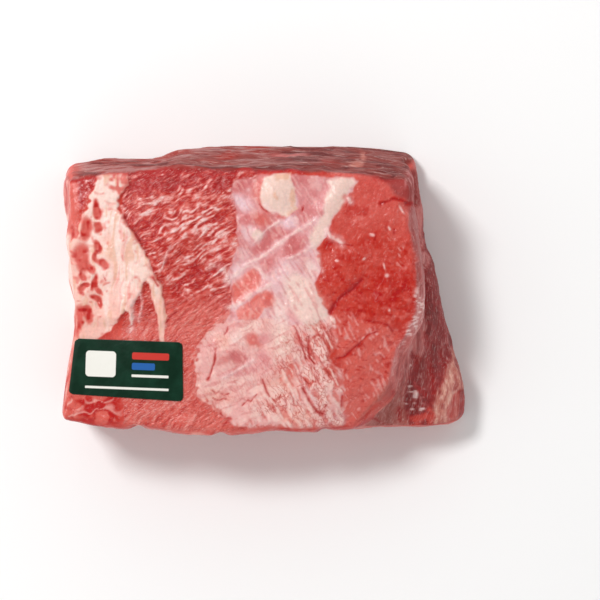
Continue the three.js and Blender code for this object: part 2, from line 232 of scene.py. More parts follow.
SIDE_FAT_SEEN = [
    (80.5, -26), (82.5, -33), (85, -38), (84.7, -44), (81.5, -46), (79.5, -50), (78.5, -54), (78, -60),
    (74, -60), (73.5, -52), (75, -45), (77, -40), (78, -35), (80, -30),
]
END_MUSCLE = [(81.5, -46.5), (84, -45.5), (84.6, -50), (84.3, -60), (78.5, -60), (78.8, -53), (80, -50)]
SUB_LOBE = [(66, -34), (69.5, -28), (71, -37), (72, -44), (69.5, -46), (67, -41)]
RECESS = [  # the wet hollow between the muscles of the right side, painted dark as shade, with painted glints
    (63.6, -28), (65.8, -31), (67, -40), (69.5, -46), (71, -50), (69, -55), (63, -57), (60.5, -52),
    (61.5, -42),
]
NEAR_RED = [(60, -59), (63, -56), (70, -54), (73, -50), (74.5, -55), (73, -60), (66, -63), (60, -63)]
# The near right corner of the top, where it rounds away, painted brown as shade.
SHADED_NEAR_CORNER = [(40, -66), (41, -58), (46, -52), (50, -46), (53, -42), (60, -50), (62, -66)]
CORNER_TONGUE = [
    (44, 47.5), (52, 46.5), (55, 42.5), (56, 40.4), (61, 37.2), (63, 35.2), (66, 35.5), (68, 38), (68, 46),
    (64, 50), (52, 49),
]
ISLANDS = [  # red islands in the fat: middle, half sizes and lean
    ((-72.3, 33), (1.5, 4), 0.1), ((-76.8, 25), (2.3, 5), -0.05), ((-72, 25), (1.7, 2.4), 0.3),
    ((-78.7, 13), (3.2, 5.6), 0.1), ((-75.4, 8.3), (1.3, 2.6), 0.5), ((-72, 17), (1.5, 2.7), 0.5),
    ((-72.6, 12.7), (1, 2.4), 0.2), ((-70, 10), (2, 2.2), 0.3), ((-78.6, 5), (1.2, 2.4), 0.3),
    ((-78.8, -1), (1.4, 2), -0.4), ((-77.4, 0.7), (2, 0.9), 0.1), ((-73.3, 2.3), (1.3, 3.3), -0.1),
    ((-71, -1.2), (1.1, 2.8), 0.5), ((-72.6, -5), (2.9, 1.5), -0.4), ((-71.2, -7.5), (1.2, 1.9), 0.2),
    ((-81, -15), (1.6, 7), -0.15), ((-76.6, -12), (1.7, 3.4), 0.1), ((-78.5, -10), (2, 1.6), 0.3),
    ((-83.8, 23), (1.6, 3), 0),
]
FILM_PATCHES = [  # patches in the films: middle, half sizes, lean, colour
    ((4, 23.5), (5.5, 4), 0.5, SILVER_DEEP), ((13, 19), (5.5, 3.8), 0.6, SILVER_DEEP),
    ((20, 41.5), (7, 4), 0.2, SILVER), ((-1.5, 29.5), (4.6, 3.4), -0.3, MEMBRANE_RED),
    ((-9, 44.5), (5, 2.4), 0.4, SILVER_DEEP), ((-1, 17), (6, 2.4), 0.5, SILVER_DEEP),
    ((2.5, 9), (4, 3.4), 0.4, SILVER_DEEP), ((-8.5, 29), (3.5, 2.2), 0.3, SILVER_DEEP),
    ((-3, 43), (2.6, 4.6), -0.3, MEMBRANE_RED), ((12, 14), (6, 2.4), 0.6, SILVER_DEEP),
    ((-5, -22.5), (4, 2.4), -0.6, MEMBRANE_RED), ((2.3, -5.5), (2, 3), 0.2, MEMBRANE_RED),
    ((1, -22.5), (4, 2.4), -0.2, SILVER), ((-12.5, -30.5), (5, 2.4), -0.2, SILVER_DEEP),
    ((12, -11.5), (4.4, 1.8), -0.8, SILVER), ((11.3, -34.5), (1.6, 5.6), 0.15, MUSCLE_ORANGE),
    ((-1, -31), (2.4, 4.5), 0.6, SILVER), ((-8, -36), (6, 2), 0.3, SILVER),
    ((29, -27), (1.9, 5.4), 0.2, MUSCLE), ((28.5, -36), (2.2, 2.4), 0.4, MUSCLE),
    ((31, -42), (2.6, 2), 0.4, MEMBRANE_RED), ((19.5, -41), (4, 3), -0.8, MEMBRANE_RED),
    ((-10, 36), (5.5, 3), -0.5, SILVER_LILAC), ((10.5, 28), (3.6, 3), 0.2, SILVER_LILAC),
    ((12.4, 37.5), (2, 2.4), 0, SILVER_LILAC), ((-7.5, 23.5), (2.4, 2.8), 0.6, SILVER_PALE),
    ((8, 7), (6, 5), 0.6, SILVER_PALE), ((20, 8), (2.6, 4), 0.3, TENDON),
    ((-12, 7), (3, 4.6), -0.3, SILVER_PALE), ((6.5, -11.5), (3.4, 7), 0.1, TENDON),
    ((7.5, -24), (4.8, 7), -0.1, FAT_CREAM), ((-11.3, -22.3), (3.8, 3.2), 0.3, TENDON),
    ((-18.5, -23.5), (3.4, 3), 0, FAT_PINK), ((-21, -47.5), (7, 3.2), -0.1, FAT_PINK),
    ((23.7, -26.5), (3, 5), 0.15, MEMBRANE_PALE), ((-7, -16.8), (6, 1.6), 0.4, MEMBRANE_PALE),
    ((6, -43), (8, 5), 0.2, FAT_PINK), ((14, -56), (8, 4), 0, FAT_PINK),
    ((-1, -47), (5, 6), 0, MEMBRANE_PALE), ((26, -48), (2.4, 4), 0.2, MEMBRANE_PALE),
    ((31, -57), (4, 3.4), 0, SILVER),
]
MIXED_FAT = ((-62, 44.5), (4.2, 6), -0.2)  # where red shows through the fat: middle, half sizes and lean
SMALL_LUMP = ((-3.2, 22.5), (2.4, 2.4), 0)
RED_FLECK = ((34.5, 39), (1.4, 1.2), 0)
GLEAMS = [  # where the painted highlights on the wet film are strongest, or weakest: middle, half sizes, lean, how much. The weak spot at (-57, 29), beside the fat band, deepens the red there as painted shade
    ((-50.4, 32.8), (4.8, 1.8), 0.75, 0.6), ((-36, 24.8), (4.4, 3), 0.6, 0.5),
    ((-41, 38.6), (6.5, 1.4), 0.2, 0.4), ((-57, 29), (4, 9), -0.5, -0.35), ((-38, 8), (8, 6), 0.3, -0.2),
    ((-50, 45), (11, 5), 0.1, -0.5), ((-27, 28), (8, 9), 0.6, 0.35), ((-40, 27), (8, 5), 0.6, 0.25),
]
BEAD_GLINTS = [  # small raised wet beads, each painted with a bright highlight: middle, half sizes and lean
    ((31.2, 11.3), (0.8, 0.5), 0), ((42.8, 12), (0.8, 0.5), 0.6), ((52.6, 5), (0.9, 0.9), 0),
    ((46.2, 22.6), (1.3, 0.6), -0.2), ((53.8, 25.3), (0.5, 1), 0.4), ((59.2, 33.5), (0.5, 1.8), 0.5),
    ((36.3, 38), (0.7, 0.9), 0.7), ((27.4, 22.8), (0.6, 1.8), 0.5), ((32.4, 19.2), (1.4, 0.5), -0.5),
    ((51.6, 9), (0.4, 1.5), 0.3), ((53.8, -10.2), (0.5, 0.7), 0), ((47.5, -20), (1.4, 0.5), -0.2),
    ((42.4, -22), (0.5, 1), -0.7), ((64.6, -34.5), (0.5, 1.4), 0.2), ((65.2, -38), (0.6, 0.7), 0),
    ((64.8, -42), (0.7, 0.6), 0.4), ((66, -46.5), (0.8, 0.5), 0.3), ((68, -49.5), (0.9, 0.5), 0.3),
]
FAR_MARKS = [  # on the far side as seen over the edge: middle, half sizes, lean, colour
    ((-16, 56.6), (5, 1.3), 0.1, DRIED_RED), ((-4, 61), (6, 0.8), 0, DRIED_RED),
    ((28, 54.3), (4, 0.9), -0.15, DRIED_RED), ((-40, 56), (9, 1), 0.2, DRIED_RED),
    ((-58, 57.5), (9, 1.2), 0, DRIED_RED), ((38, 53.6), (5, 0.7), 0.1, SIDE_FAT),
    ((42.6, 57), (1.2, 2.4), 0.4, SIDE_FAT), ((43.6, 57.2), (0.5, 1.1), 0.3, LOBE_DARK),
    ((10, 57), (8, 0.7), 0.05, MAUVE), ((64.6, 51), (1.6, 3.6), 0.1, MAUVE),
    ((-70, 56.4), (15, 1.3), 0.07, DRIED_RED), ((-84, 51.5), (3, 3), 0, DRIED_RED),
]
FAR_EDGE = [  # the edge between the top and the far side, left to right
    (-86, 46), (-70, 48.5), (-45, 50), (-25, 50.5), (0, 50.3), (30, 50), (45, 48.5), (52, 47), (62, 44.5),
    (66, 43),
]

# ---- Lines on the roast, as seen from above: points and half width ---------------------------------
WHORL = ((24, -27), 0.15)  # a ring of split film: middle and lean
WHORL_SIZES = ((4.2, 6.9), (3.5, 6.1))
TENDONS = [
    ([(-15.5, 2), (-12, 6), (-8, 9), (-5, 9.5), (-2, 7), (0, 4)], 0.8),
    ([(-16, -9), (-12, -7.5), (-7, -4), (-2, -1), (2, 1.5)], 0.9),
    ([(-8, 10), (0, 14), (8, 20), (15, 25), (22, 29)], 0.7),
    ([(8, 11), (14, 14), (21, 18)], 0.6),
    ([(-5, 19), (1, 25), (7, 29)], 0.55),
    ([(-23.5, 8.8), (-20, 9.2), (-17.5, 7.6), (-16, 4), (-17, 2.6)], 0.8),
    ([(0, 35.5), (2.5, 33), (5, 32)], 0.5),
    ([(-57, -6), (-57, -13), (-58.5, -20)], 0.55),
    ([(-53.6, -2), (-53.4, -9), (-54.5, -15)], 0.4),
    ([(-44.5, 8), (-43, 13), (-41, 17.5)], 0.4),
    ([(16, -40), (18.5, -45), (22, -51)], 0.45),
    ([(-18.5, -39.5), (-12, -36), (-5, -31.5)], 0.5),
    ([(23, 14), (23.5, 10), (25, 6.5)], 0.6),
    ([(27, 24.5), (28.5, 22), (31, 20.5), (33.5, 18.8)], 0.8),
    ([(36, 38.5), (37, 36.5)], 0.7),
]
CRACKS = [  # narrow splits, cut into the surface and painted dark as shade: points, half width, depth
    ([(28.5, -11), (30, -7.5), (33, -4), (37, -1.5), (42, 3)], 0.75, 1.4),
    ([(50, 36), (53, 37), (56, 38.2), (59, 37.6), (61.5, 36)], 0.5, 1.1),
    ([(61.5, 36.2), (63.6, 35.4)], 0.6, 1.4),
    ([(31, -31), (34, -30.5), (38, -27), (41, -24), (44, -21), (48, -19.5)], 0.5, 0.9),
    ([(44, -14.6), (50, -15.4), (53, -16.5), (55.5, -19)], 0.45, 0.8),
    ([(19.3, -21), (18.8, -27), (19.5, -31), (21.5, -33.5)], 0.4, 0.8),
    ([(12.5, -17), (14.5, -21), (16.5, -26), (18, -31)], 0.35, 0.6),
    ([(-21.3, -27), (-21.6, -31), (-23, -36.5), (-24.6, -40)], 0.38, 0.8),
    ([(-16, -17), (-16.3, -19), (-17.2, -20.5)], 0.35, 0.5),
    ([(-1, -40), (0, -44), (1.8, -47)], 0.38, 0.6),
    ([(16.5, -44), (19, -49.5), (22, -53), (25, -55)], 0.45, 0.8),
    ([(-19, -55), (-17, -57), (-14.5, -57), (-18, -60)], 0.45, 0.7),
    ([(-9.8, -51.2), (-7.6, -48.6), (-6.2, -49.4), (-3.4, -46.6)], 0.3, 0.5),
    ([(-22.8, -44.7), (-21, -46.2), (-19.4, -45.4), (-17.6, -47), (-15.4, -46.2)], 0.3, 0.5),
    ([(-22.6, -48.2), (-20, -49.3), (-17.8, -48.4), (-15.6, -49.2)], 0.3, 0.5),
    ([(26.5, -51), (25.8, -54)], 0.5, 0.6),
    ([(33.5, -47), (33, -53)], 0.5, 0.6),
    ([(47.6, 23), (47.5, 20.5)], 0.45, 0.7),
    ([(56, 25), (55.8, 23)], 0.4, 0.5),
    ([(28, 19), (33, 18.4), (38, 18)], 0.35, 0.5),
    ([(-61.5, 36.4), (-59.8, 34.8)], 0.5, 0.8),
    ([(-60.4, 30), (-57.6, 25.5), (-54.4, 20.5)], 0.8, 1.0),
    ([(-48.5, 4), (-46.3, 0.4)], 0.5, 0.7),
    ([(-43, -16), (-41, -13), (-38, -10.5)], 0.4, 0.6),
    ([(-69.5, 5.5), (-68.5, 3)], 0.25, 0.4),
    ([(16.8, 35.5), (16, 33)], 0.4, 0.6),
    ([(-2.4, 36), (-0.5, 33.8), (2, 32.4)], 0.35, 0.5),
    ([(45, -56), (48, -57), (51, -59)], 0.4, 0.6),
    ([(58, -52.5), (58.1, -57)], 0.6, 1.4),
    ([(65.8, -30.5), (64.6, -36), (64, -40), (66, -43), (69, -47)], 0.75, 1.2),
    ([(69.5, -20), (70.3, -26), (70.6, -33), (72.2, -40), (73, -46)], 0.7, 1.0),
    ([(75.5, -28), (77.2, -34), (76.4, -42)], 0.8, 0.8),
    ([(54.5, -44.5), (53.8, -49)], 0.45, 0.5),
]


# ---- Small tools ---------------------------------------------------------------------------------
def ramp(value, low, high):
    """0 where the value is under low, 1 where it is over high, and a smooth ramp between."""
    t = np.clip((value - low) / (high - low), 0, 1)
    return t * t * (3 - 2 * t)


def lerp(a, b, t):
    return a + (b - a) * t


def along(values, t):
    """The values at t, from -1 to 1, on a smooth line through evenly spaced values or rows of values."""
    values = np.asarray(values, float)
    t = np.asarray(t, float)
    last = len(values) - 1
    place = (np.clip(t, -1, 1) + 1) / 2 * last
    i = np.minimum(place.astype(int), last - 1)
    f = place - i

    def pick(step):
        k = np.clip(i + step, 0, last)
        return values[k] if values.ndim == 1 else np.take_along_axis(values, k[None], 0)[0]

    before, a, b, after = pick(-1), pick(0), pick(1), pick(2)
    bow = 2 * before - 5 * a + 4 * b - after + f * (3 * (a - b) + after - before)
    return a + 0.5 * f * (b - before + f * bow)


LATTICE = np.random.default_rng(12).uniform(-1, 1, (32, 32, 32))


def noise(points, size, seed=0):
    """Smooth noise from about -1 to 1 with lumps of the given size, the same at every run."""
    p = points / size + np.array([7.31, 3.77, 5.13]) * (seed + 1)
    cell = np.floor(p).astype(int)
    f = p - cell
    f = f * f * (3 - 2 * f)
    total = np.zeros(len(points))
    for corner in np.ndindex(2, 2, 2):
        weight = np.prod(np.where(corner, f, 1 - f), axis=1)
        total += weight * LATTICE[tuple(((cell + corner) % 32).T)]
    return total


def rough(points, size, seed=0, octaves=3):
    """Noise with finer noise on it."""
    return sum(noise(points, np.asarray(size) / 2**k, seed + k) / 2**k for k in range(octaves))


def turned(points, degrees):
    """The points turned about Z, so that the given direction comes to lie along X."""
    c, s = math.cos(math.radians(degrees)), math.sin(math.radians(degrees))
    x, y, z = points.T
    return np.column_stack([x * c + y * s, y * c - x * s, z])


def drawn_out(skin, degrees, length, width, seed, waver=1.0, axes=FROM_ABOVE):
    """Noise drawn out along one direction in the plane of the first two axes, from about -1 to 1."""
    bent = (skin.plain + waver * skin.warp)[:, axes]
    return noise(turned(bent, degrees), np.array([length, width, 3 * width]), seed)


def strands(skin, degrees, length, width, seed, waver):
    """Thin wavering lines in one direction: 1 along their middles, falling below 0 between them."""
    return 1 - 2.2 * np.abs(drawn_out(skin, degrees, length, width, seed, waver))


def distance_to_line(xy, points, reach):
    """Distance to a line of points, where it is under reach, and reach elsewhere."""
    points = np.asarray(points, float)
    least = np.full(len(xy), float(reach))
    near = ((xy > points.min(0) - reach) & (xy < points.max(0) + reach)).all(axis=1)
    spots = xy[near]
    best = least[near]
    for a, b in zip(points, points[1:]):
        t = np.clip((spots - a) @ (b - a) / ((b - a) @ (b - a)), 0, 1)
        best = np.minimum(best, np.linalg.norm(spots - a - t[:, None] * (b - a), axis=1))
    least[near] = best
    return least


def depth_inside(xy, outline, reach=4.0):
    """How far points lie inside a closed outline, negative outside, and never beyond reach."""
    outline = np.asarray(outline, float)
    edge = distance_to_line(xy, np.vstack([outline, outline[:1]]), 1e3)
    x, y = xy.T
    inside = np.zeros(len(xy), bool)
    for (ax, ay), (bx, by) in zip(outline, np.roll(outline, -1, axis=0)):
        if ay != by:
            inside ^= ((ay > y) != (by > y)) & (x < (bx - ax) * (y - ay) / (by - ay) + ax)
    return np.clip(np.where(inside, edge, -edge), -reach, reach)


def area(xy, outline, soft=0.5):
    """1 inside an outline and 0 outside it, with a soft edge."""
    return ramp(depth_inside(xy, outline), -soft, soft)


def leaning(x, y, middle, lean):
    """How far points lie from a middle, along a line that leans by an angle, and across it."""
    c, s = math.cos(lean), math.sin(lean)
    dx, dy = x - middle[0], y - middle[1]
    return dx * c + dy * s, dy * c - dx * s


def spot(xy, middle, sizes, lean, soft=0.35):
    """1 inside a leaning ellipse and 0 outside it. soft is the width of its edge as a share of its size."""
    a, b = leaning(*xy.T, middle, lean)
    return 1 - ramp(np.hypot(a / sizes[0], b / sizes[1]), 1 - soft, 1 + soft)


def hill(x, y, middle, sizes, lean=0.0):
    """A round hill of height 1 on a leaning ellipse, falling smoothly to 0 at its edge."""
    a, b = leaning(x, y, middle, lean)
    a, b = a / sizes[0], b / sizes[1]
    return np.maximum(0, 1 - a * a - b * b) ** 2


# ---- The block and its bending -------------------------------------------------------------------
def plan(s, t, inset):
    """From a place on the square seen from above to one on the block, with rounded corners."""
    ring = np.maximum(np.maximum(np.abs(s), np.abs(t)), 1e-9)
    x, y = s / ring * HALF_LENGTH, t / ring * HALF_WIDTH
    inner_x = np.clip(x, CORNER_ROUND - HALF_LENGTH, HALF_LENGTH - CORNER_ROUND)
    inner_y = np.clip(y, CORNER_ROUND - HALF_WIDTH, HALF_WIDTH - CORNER_ROUND)
    reach = (CORNER_ROUND - inset) / np.maximum(np.hypot(x - inner_x, y - inner_y), 1e-9)
    u = ring * (inner_x + (x - inner_x) * reach) / HALF_LENGTH
    v = ring * (inner_y + (y - inner_y) * reach) / HALF_WIDTH
    return u, v


def bend(u, v, w):
    """From the block to the roast's plain form: u and v from -1 to 1, w from 0 at the base to 1 on top."""
    seam = along(SEAM_LEVEL, v)
    foot, head = along(RIGHT_FOOT, v), along(RIGHT_TOP, v)
    shelf = SHELF_SHARE * (ramp(w, seam - SHELF_START, seam + SHELF_END) - w) * (head - foot)
    left = lerp(along(LEFT_FOOT, v), along(LEFT_TOP, v), w)
    near = lerp(along(NEAR_FOOT, u), along(NEAR_TOP, u), w)
    far = lerp(along(FAR_FOOT, u), along(FAR_TOP, u), w)
    height = along(np.array([along(row, u) for row in TOP_HEIGHT]), v)
    x = lerp(left, lerp(foot, head, w), (u + 1) / 2) + shelf * ramp(u, SHELF_FADE, 1)
    return np.column_stack([x, lerp(near, far, (v + 1) / 2), w * height])


def side_section(steps):
    """The side's section from the base up: how far it is drawn in, and its height as a share."""
    foot, head = FOOT_ROUND * math.pi / 2, TOP_ROUND * math.pi / 2
    straight = BLOCK_HEIGHT - FOOT_ROUND - TOP_ROUND
    run = np.linspace(0, foot + straight + head, steps + 1)
    low = np.clip(run / FOOT_ROUND, 0, math.pi / 2)
    high = np.clip((run - foot - straight) / TOP_ROUND, 0, math.pi / 2)
    inset = FOOT_ROUND * (1 - np.sin(low)) + TOP_ROUND * (1 - np.cos(high))
    climb = np.clip(run - foot, 0, straight)
    height = FOOT_ROUND * (1 - np.cos(low)) + climb + TOP_ROUND * np.sin(high)
    return inset, height / BLOCK_HEIGHT


# ---- The net of points that covers the roast -------------------------------------------------------
class Net:
    """Points on the block, the faces between them and each face corner's place on the texture sheet."""

    SHEET = 328  # side of the sheet in millimetres
    ORIGINS = {
        "top": (3, 3), "left": (186, 3), "right": (257, 3), "near": (3, 134), "far": (3, 205),
        "base": (186, 134),
    }
    BASE_SCALE = 0.76

    def __init__(self, step):
        self.across = 4 * round(2 * HALF_LENGTH / step / 4)
        self.deep = 4 * round(2 * HALF_WIDTH / step / 4)
        self.rows = round((BLOCK_HEIGHT + 4) / step / 1.1)
        self.places, self.faces, self.corners = [], [], []
        self.count = 0
        rim = self.rim_steps()
        rings = self.add_side(rim)
        self.add_top(rim, rings[-1])
        self.add_base(rim, rings[0])
        self.u, self.v, self.w = np.vstack(self.places).T

    def rim_steps(self):
        """Steps round the square, anticlockwise from the near left corner."""
        a, d = self.across, self.deep
        i = np.concatenate([np.arange(a), np.full(d, a), np.arange(a, 0, -1), np.zeros(d, int)])
        j = np.concatenate([np.zeros(a, int), np.arange(d), np.full(a, d), np.arange(d, 0, -1)])
        return np.column_stack([i, j])

    def add(self, i, j, inset, w):
        u, v = plan(2 * i / self.across - 1, 2 * j / self.deep - 1, inset)
        self.places.append(np.column_stack([u, v, np.full(len(u), w)]))
        self.count += len(u)
        return np.arange(self.count - len(u), self.count)

    def sheet_spot(self, island, x, y):
        ox, oy = self.ORIGINS[island]
        return np.stack([(ox + x) / self.SHEET, (oy + y) / self.SHEET], axis=-1)

    def add_faces(self, faces, corners):
        self.faces += faces.tolist()
        self.corners.append(corners.reshape(-1, 2))

    def add_side(self, rim):
        rings = [self.add(*rim.T, inset, w) for inset, w in zip(*side_section(self.rows))]
        a, d = self.across, self.deep
        width, depth = 2 * HALF_LENGTH / a, 2 * HALF_WIDTH / d
        height = (BLOCK_HEIGHT + 4) / self.rows
        spans = {
            "near": (0, a), "right": (a, a + d), "far": (a + d, 2 * a + d), "left": (2 * a + d, 2 * (a + d)),
        }
        for island, (start, end) in spans.items():
            k = np.arange(start, end)
            after = (k + 1) % len(rim)
            for r, (low, high) in enumerate(zip(rings, rings[1:])):
                faces = np.column_stack([low[k], low[after], high[after], high[k]])
                run = np.column_stack([k, k + 1, k + 1, k]) - start
                climb = np.array([r, r, r + 1, r + 1]) * height + np.zeros((len(k), 1))
                if island in ("near", "far"):
                    spots = self.sheet_spot(island, run * width, climb)
                else:
                    spots = self.sheet_spot(island, climb, run * depth)
                self.add_faces(faces, spots)
        return rings

    def add_top(self, rim, ring):
        a, d = self.across, self.deep
        index = np.full((a + 1, d + 1), -1)
        index[rim[:, 0], rim[:, 1]] = ring
        i, j = np.nonzero(index < 0)
        index[i, j] = self.add(i, j, TOP_ROUND, 1.0)
        i, j = (k.ravel() for k in np.meshgrid(np.arange(a), np.arange(d), indexing="ij"))
        around = [(0, 0), (1, 0), (1, 1), (0, 1)]
        faces = np.column_stack([index[i + di, j + dj] for di, dj in around])
        x = np.column_stack([i + di for di, _ in around]) * 2 * HALF_LENGTH / a
        y = np.column_stack([j + dj for _, dj in around]) * 2 * HALF_WIDTH / d
        self.add_faces(faces, self.sheet_spot("top", x, y))

    def add_base(self, rim, ring):
        """A flat base with a cell for four by four of the rim's steps, joined to every point of the rim."""
        inner = np.arange(4, self.across, 4), np.arange(4, self.deep, 4)
        i, j = (k.ravel() for k in np.meshgrid(*inner, indexing="ij"))
        index = {tuple(step): k for step, k in zip(rim.tolist(), ring.tolist())}
        index.update(zip(zip(i.tolist(), j.tolist()), self.add(i, j, FOOT_ROUND, 0.0).tolist()))
        for i in range(0, self.across, 4):
            for j in range(0, self.deep, 4):
                round_cell = [(i, j + k) for k in range(4)] + [(i + k, j + 4) for k in range(4)]
                round_cell += [(i + 4, j + 4 - k) for k in range(4)] + [(i + 4 - k, j) for k in range(4)]
                cell = [step for step in round_cell if step in index]
                self.faces.append([index[step] for step in cell])
                x, y = np.array(cell).T * self.BASE_SCALE
                x, y = x * 2 * HALF_LENGTH / self.across, y * 2 * HALF_WIDTH / self.deep
                self.corners.append(self.sheet_spot("base", x, y))


def smooth_normals(points, faces):
    """The points' normals, from a throwaway mesh."""
    mesh = bpy.data.meshes.new("measure")
    mesh.from_pydata(points, [], faces)
    normals = np.empty(3 * len(points), np.float32)
    mesh.vertex_normals.foreach_get("vector", normals)
    bpy.data.meshes.remove(mesh)
    return normals.reshape(-1, 3).astype(float)


def make_skin(net):
    """All that the relief and the colours need to know about each point of the roast."""
    plain = bend(net.u, net.v, net.w)
    normal = smooth_normals(plain, net.faces)
    up = ramp(normal[:, 2], 0.45, 0.85)
    flat = np.maximum(np.hypot(normal[:, 0], normal[:, 1]), 1e-6)
    out_x, out_y = normal[:, 0] / flat, normal[:, 1] / flat
    side = 1 - up
    seen = (TOP_LEVEL - CAMERA_AT[2]) / (plain[:, 2] - CAMERA_AT[2])
    xy = np.array(CAMERA_AT[:2]) + (plain[:, :2] - CAMERA_AT[:2]) * seen[:, None]
    waver = np.column_stack([rough(plain, 5, seed) for seed in (1, 4)])
    warp = np.column_stack([noise(plain, 4.5, seed) for seed in (20, 21, 22)])
    return SimpleNamespace(
        plain=plain, normal=normal, u=net.u, v=net.v, w=net.w, up=up,
        right=side * ramp(out_x, 0.35, 0.8), left=side * ramp(-out_x, 0.35, 0.8),
        far=side * ramp(out_y, 0.35, 0.8), near=side * ramp(-out_y, 0.35, 0.8),
        base=ramp(-normal[:, 2], 0.7, 0.9),
        xy=xy, loose=xy + 0.75 * waver, close=xy + 0.3 * waver, warp=warp,
        pinch=1 + 0.6 * noise(plain, 2.5, 24),
    )


# ---- Relief --------------------------------------------------------------------------------------
def unevenness(points):
    """Slow waves over the whole roast."""
    x, y, z = points.T
    return (
        0.5 * np.sin(x * 0.11 + y * 0.05 + 1.3) * np.sin(y * 0.13 - z * 0.07 + 0.6)
        + 0.3 * np.sin(x * 0.23 - y * 0.17 + z * 0.19 + 2.1)
        + 0.2 * np.sin(x * 0.37 + y * 0.31 - z * 0.29)
    )


def label_reach(points, margin):
    """How far points lie inside the label's rectangle grown by a margin."""
    a, b = leaning(points[:, 0], points[:, 1], LABEL_CENTRE, LABEL_TURN)
    return np.minimum(LABEL_LENGTH / 2 + margin - np.abs(a), LABEL_WIDTH / 2 + margin - np.abs(b))


def top_relief(skin):
    """The raised fat and tendons, the sunken splits and islands, and the larger forms of the top."""
    x, y, _ = skin.plain.T
    rise = FAT_RISE * area(skin.loose, FAT_BAND, 0.9)
    for middle, sizes, lean, height in FAT_LUMPS:
        rise += height * hill(x, y, middle, sizes, lean)
    for points, width, depth in CRACKS:
        rise -= 0.3 * depth * np.exp(-(distance_to_line(skin.close, points, 8) / (1.3 * width)) ** 2)
    for points, width in TENDONS:
        rise += 0.22 * np.exp(-(distance_to_line(skin.close, points, 6) / (1.4 * width)) ** 2)
    for middle, sizes, lean in ISLANDS:
        rise -= 0.5 * spot(skin.loose, middle, sizes, lean)
    rise += 2.2 * hill(x, y, *TONGUE_HILL)
    rise -= 1.6 * hill(x, y, *TONGUE_DIP)
    rise += 0.9 * np.sin(0.5 * x + 0.75 * y) * hill(x, y, *WAVY_MUSCLE)
    return rise


def right_relief(skin):
    """Two bulging muscles with a seam between them, a hollow near the near corner and a fold low down."""
    v, w = skin.v, skin.w
    seam = along(SEAM_LEVEL, v)
    share = np.where(w > seam, (w - seam) / (1 - seam), (seam - w) / seam)
    off_corner = lerp(0.25, 1, ramp(v, -1, -0.86))
    rise = MUSCLE_BULGE * (np.maximum(0, 1 - (2 * share - 1) ** 2) ** 0.7 - 0.4)
    rise -= off_corner * SEAM_DEPTH * np.exp(-(((w - seam) / SEAM_WIDTH) ** 2))
    rise -= off_corner * SIDE_HOLLOW_DEPTH * hill(v, w, *SIDE_HOLLOW)
    rise -= 1.5 * np.exp(-(((w - 0.25 + 0.08 * v) / 0.06) ** 2)) * ramp(-v, 0, 0.5)
    return rise


def far_relief(skin):
    """Long low ridges that waver along the far side, and a swelling left of its middle."""
    x, _, z = skin.plain.T
    ridge = np.sin(z * 0.46 + 1.7 * np.sin(x * 0.045) + 2.4 * np.sin(x * 0.021 + 1))
    return 0.5 * ridge * (1 + 0.5 * np.sin(x * 0.083 + 0.1 * z)) + 1.2 * np.exp(-(((x + 38) / 9) ** 2))


def near_seam_distance(skin):
    x, _, z = skin.plain.T
    lean = NEAR_SEAM_LEAN * (z - NEAR_SEAM_LEVEL)
    return np.min([np.abs(x - at - lean) for at in NEAR_SEAMS], axis=0)


def near_relief(skin):
    """Lobes of muscle with grooves between them."""
    x, _, z = skin.plain.T
    return 0.5 - 2 * np.exp(-((near_seam_distance(skin) / 3.2) ** 2)) + 0.35 * np.sin(0.4 * z + 0.1 * x)


def left_relief(skin):
    """Soft folds of fat."""
    _, y, z = skin.plain.T
    return 1.3 * np.sin(z * 0.21 + 0.05 * y + 0.4) * np.sin(y * 0.09 + 1) + 0.5 * np.sin(z * 0.45 - y * 0.16)


def fine_relief(skin, detail):
    """Wrinkled film, grain and strands, all under a millimetre."""
    rise = 0.14 * rough(skin.plain, 2.4, 30) + 0.35 * noise(skin.plain, 7, 33)
    rise += 0.3 * detail.wrinkles * detail.wet_film
    rise += 0.2 * noise(skin.plain, 2.2, 34) * detail.muscle * (1 - detail.wet_film)
    rise += 0.3 * detail.grain * skin.far + 0.2 * detail.side_grain * skin.right
    rise += 0.3 * detail.threads * detail.membrane * lerp(0.5, 1, detail.stringy)
    rise += 0.3 * detail.pebbles * detail.recess * skin.right
    for middle, sizes, lean in BEAD_GLINTS:
        rise += 0.25 * spot(skin.loose, middle, sizes, lean, 0.8)
    return rise


def relief(skin, detail):
    """How far each point stands out from the plain form. It fades at the foot and under the label."""
    rise = 0.8 * unevenness(skin.plain) + skin.up * top_relief(skin)
    rise += skin.right * right_relief(skin) + skin.left * left_relief(skin)
    rise += skin.far * far_relief(skin) + skin.near * near_relief(skin)
    rise += fine_relief(skin, detail)
    z = skin.plain[:, 2]
    off_label = 1 - ramp(label_reach(skin.plain, 10), 0, 5) * ramp(z, 30, 45)
    return rise * off_label * ramp(z, 0.5, 8) * (1 - 0.7 * np.abs(skin.u * skin.v) ** 8)


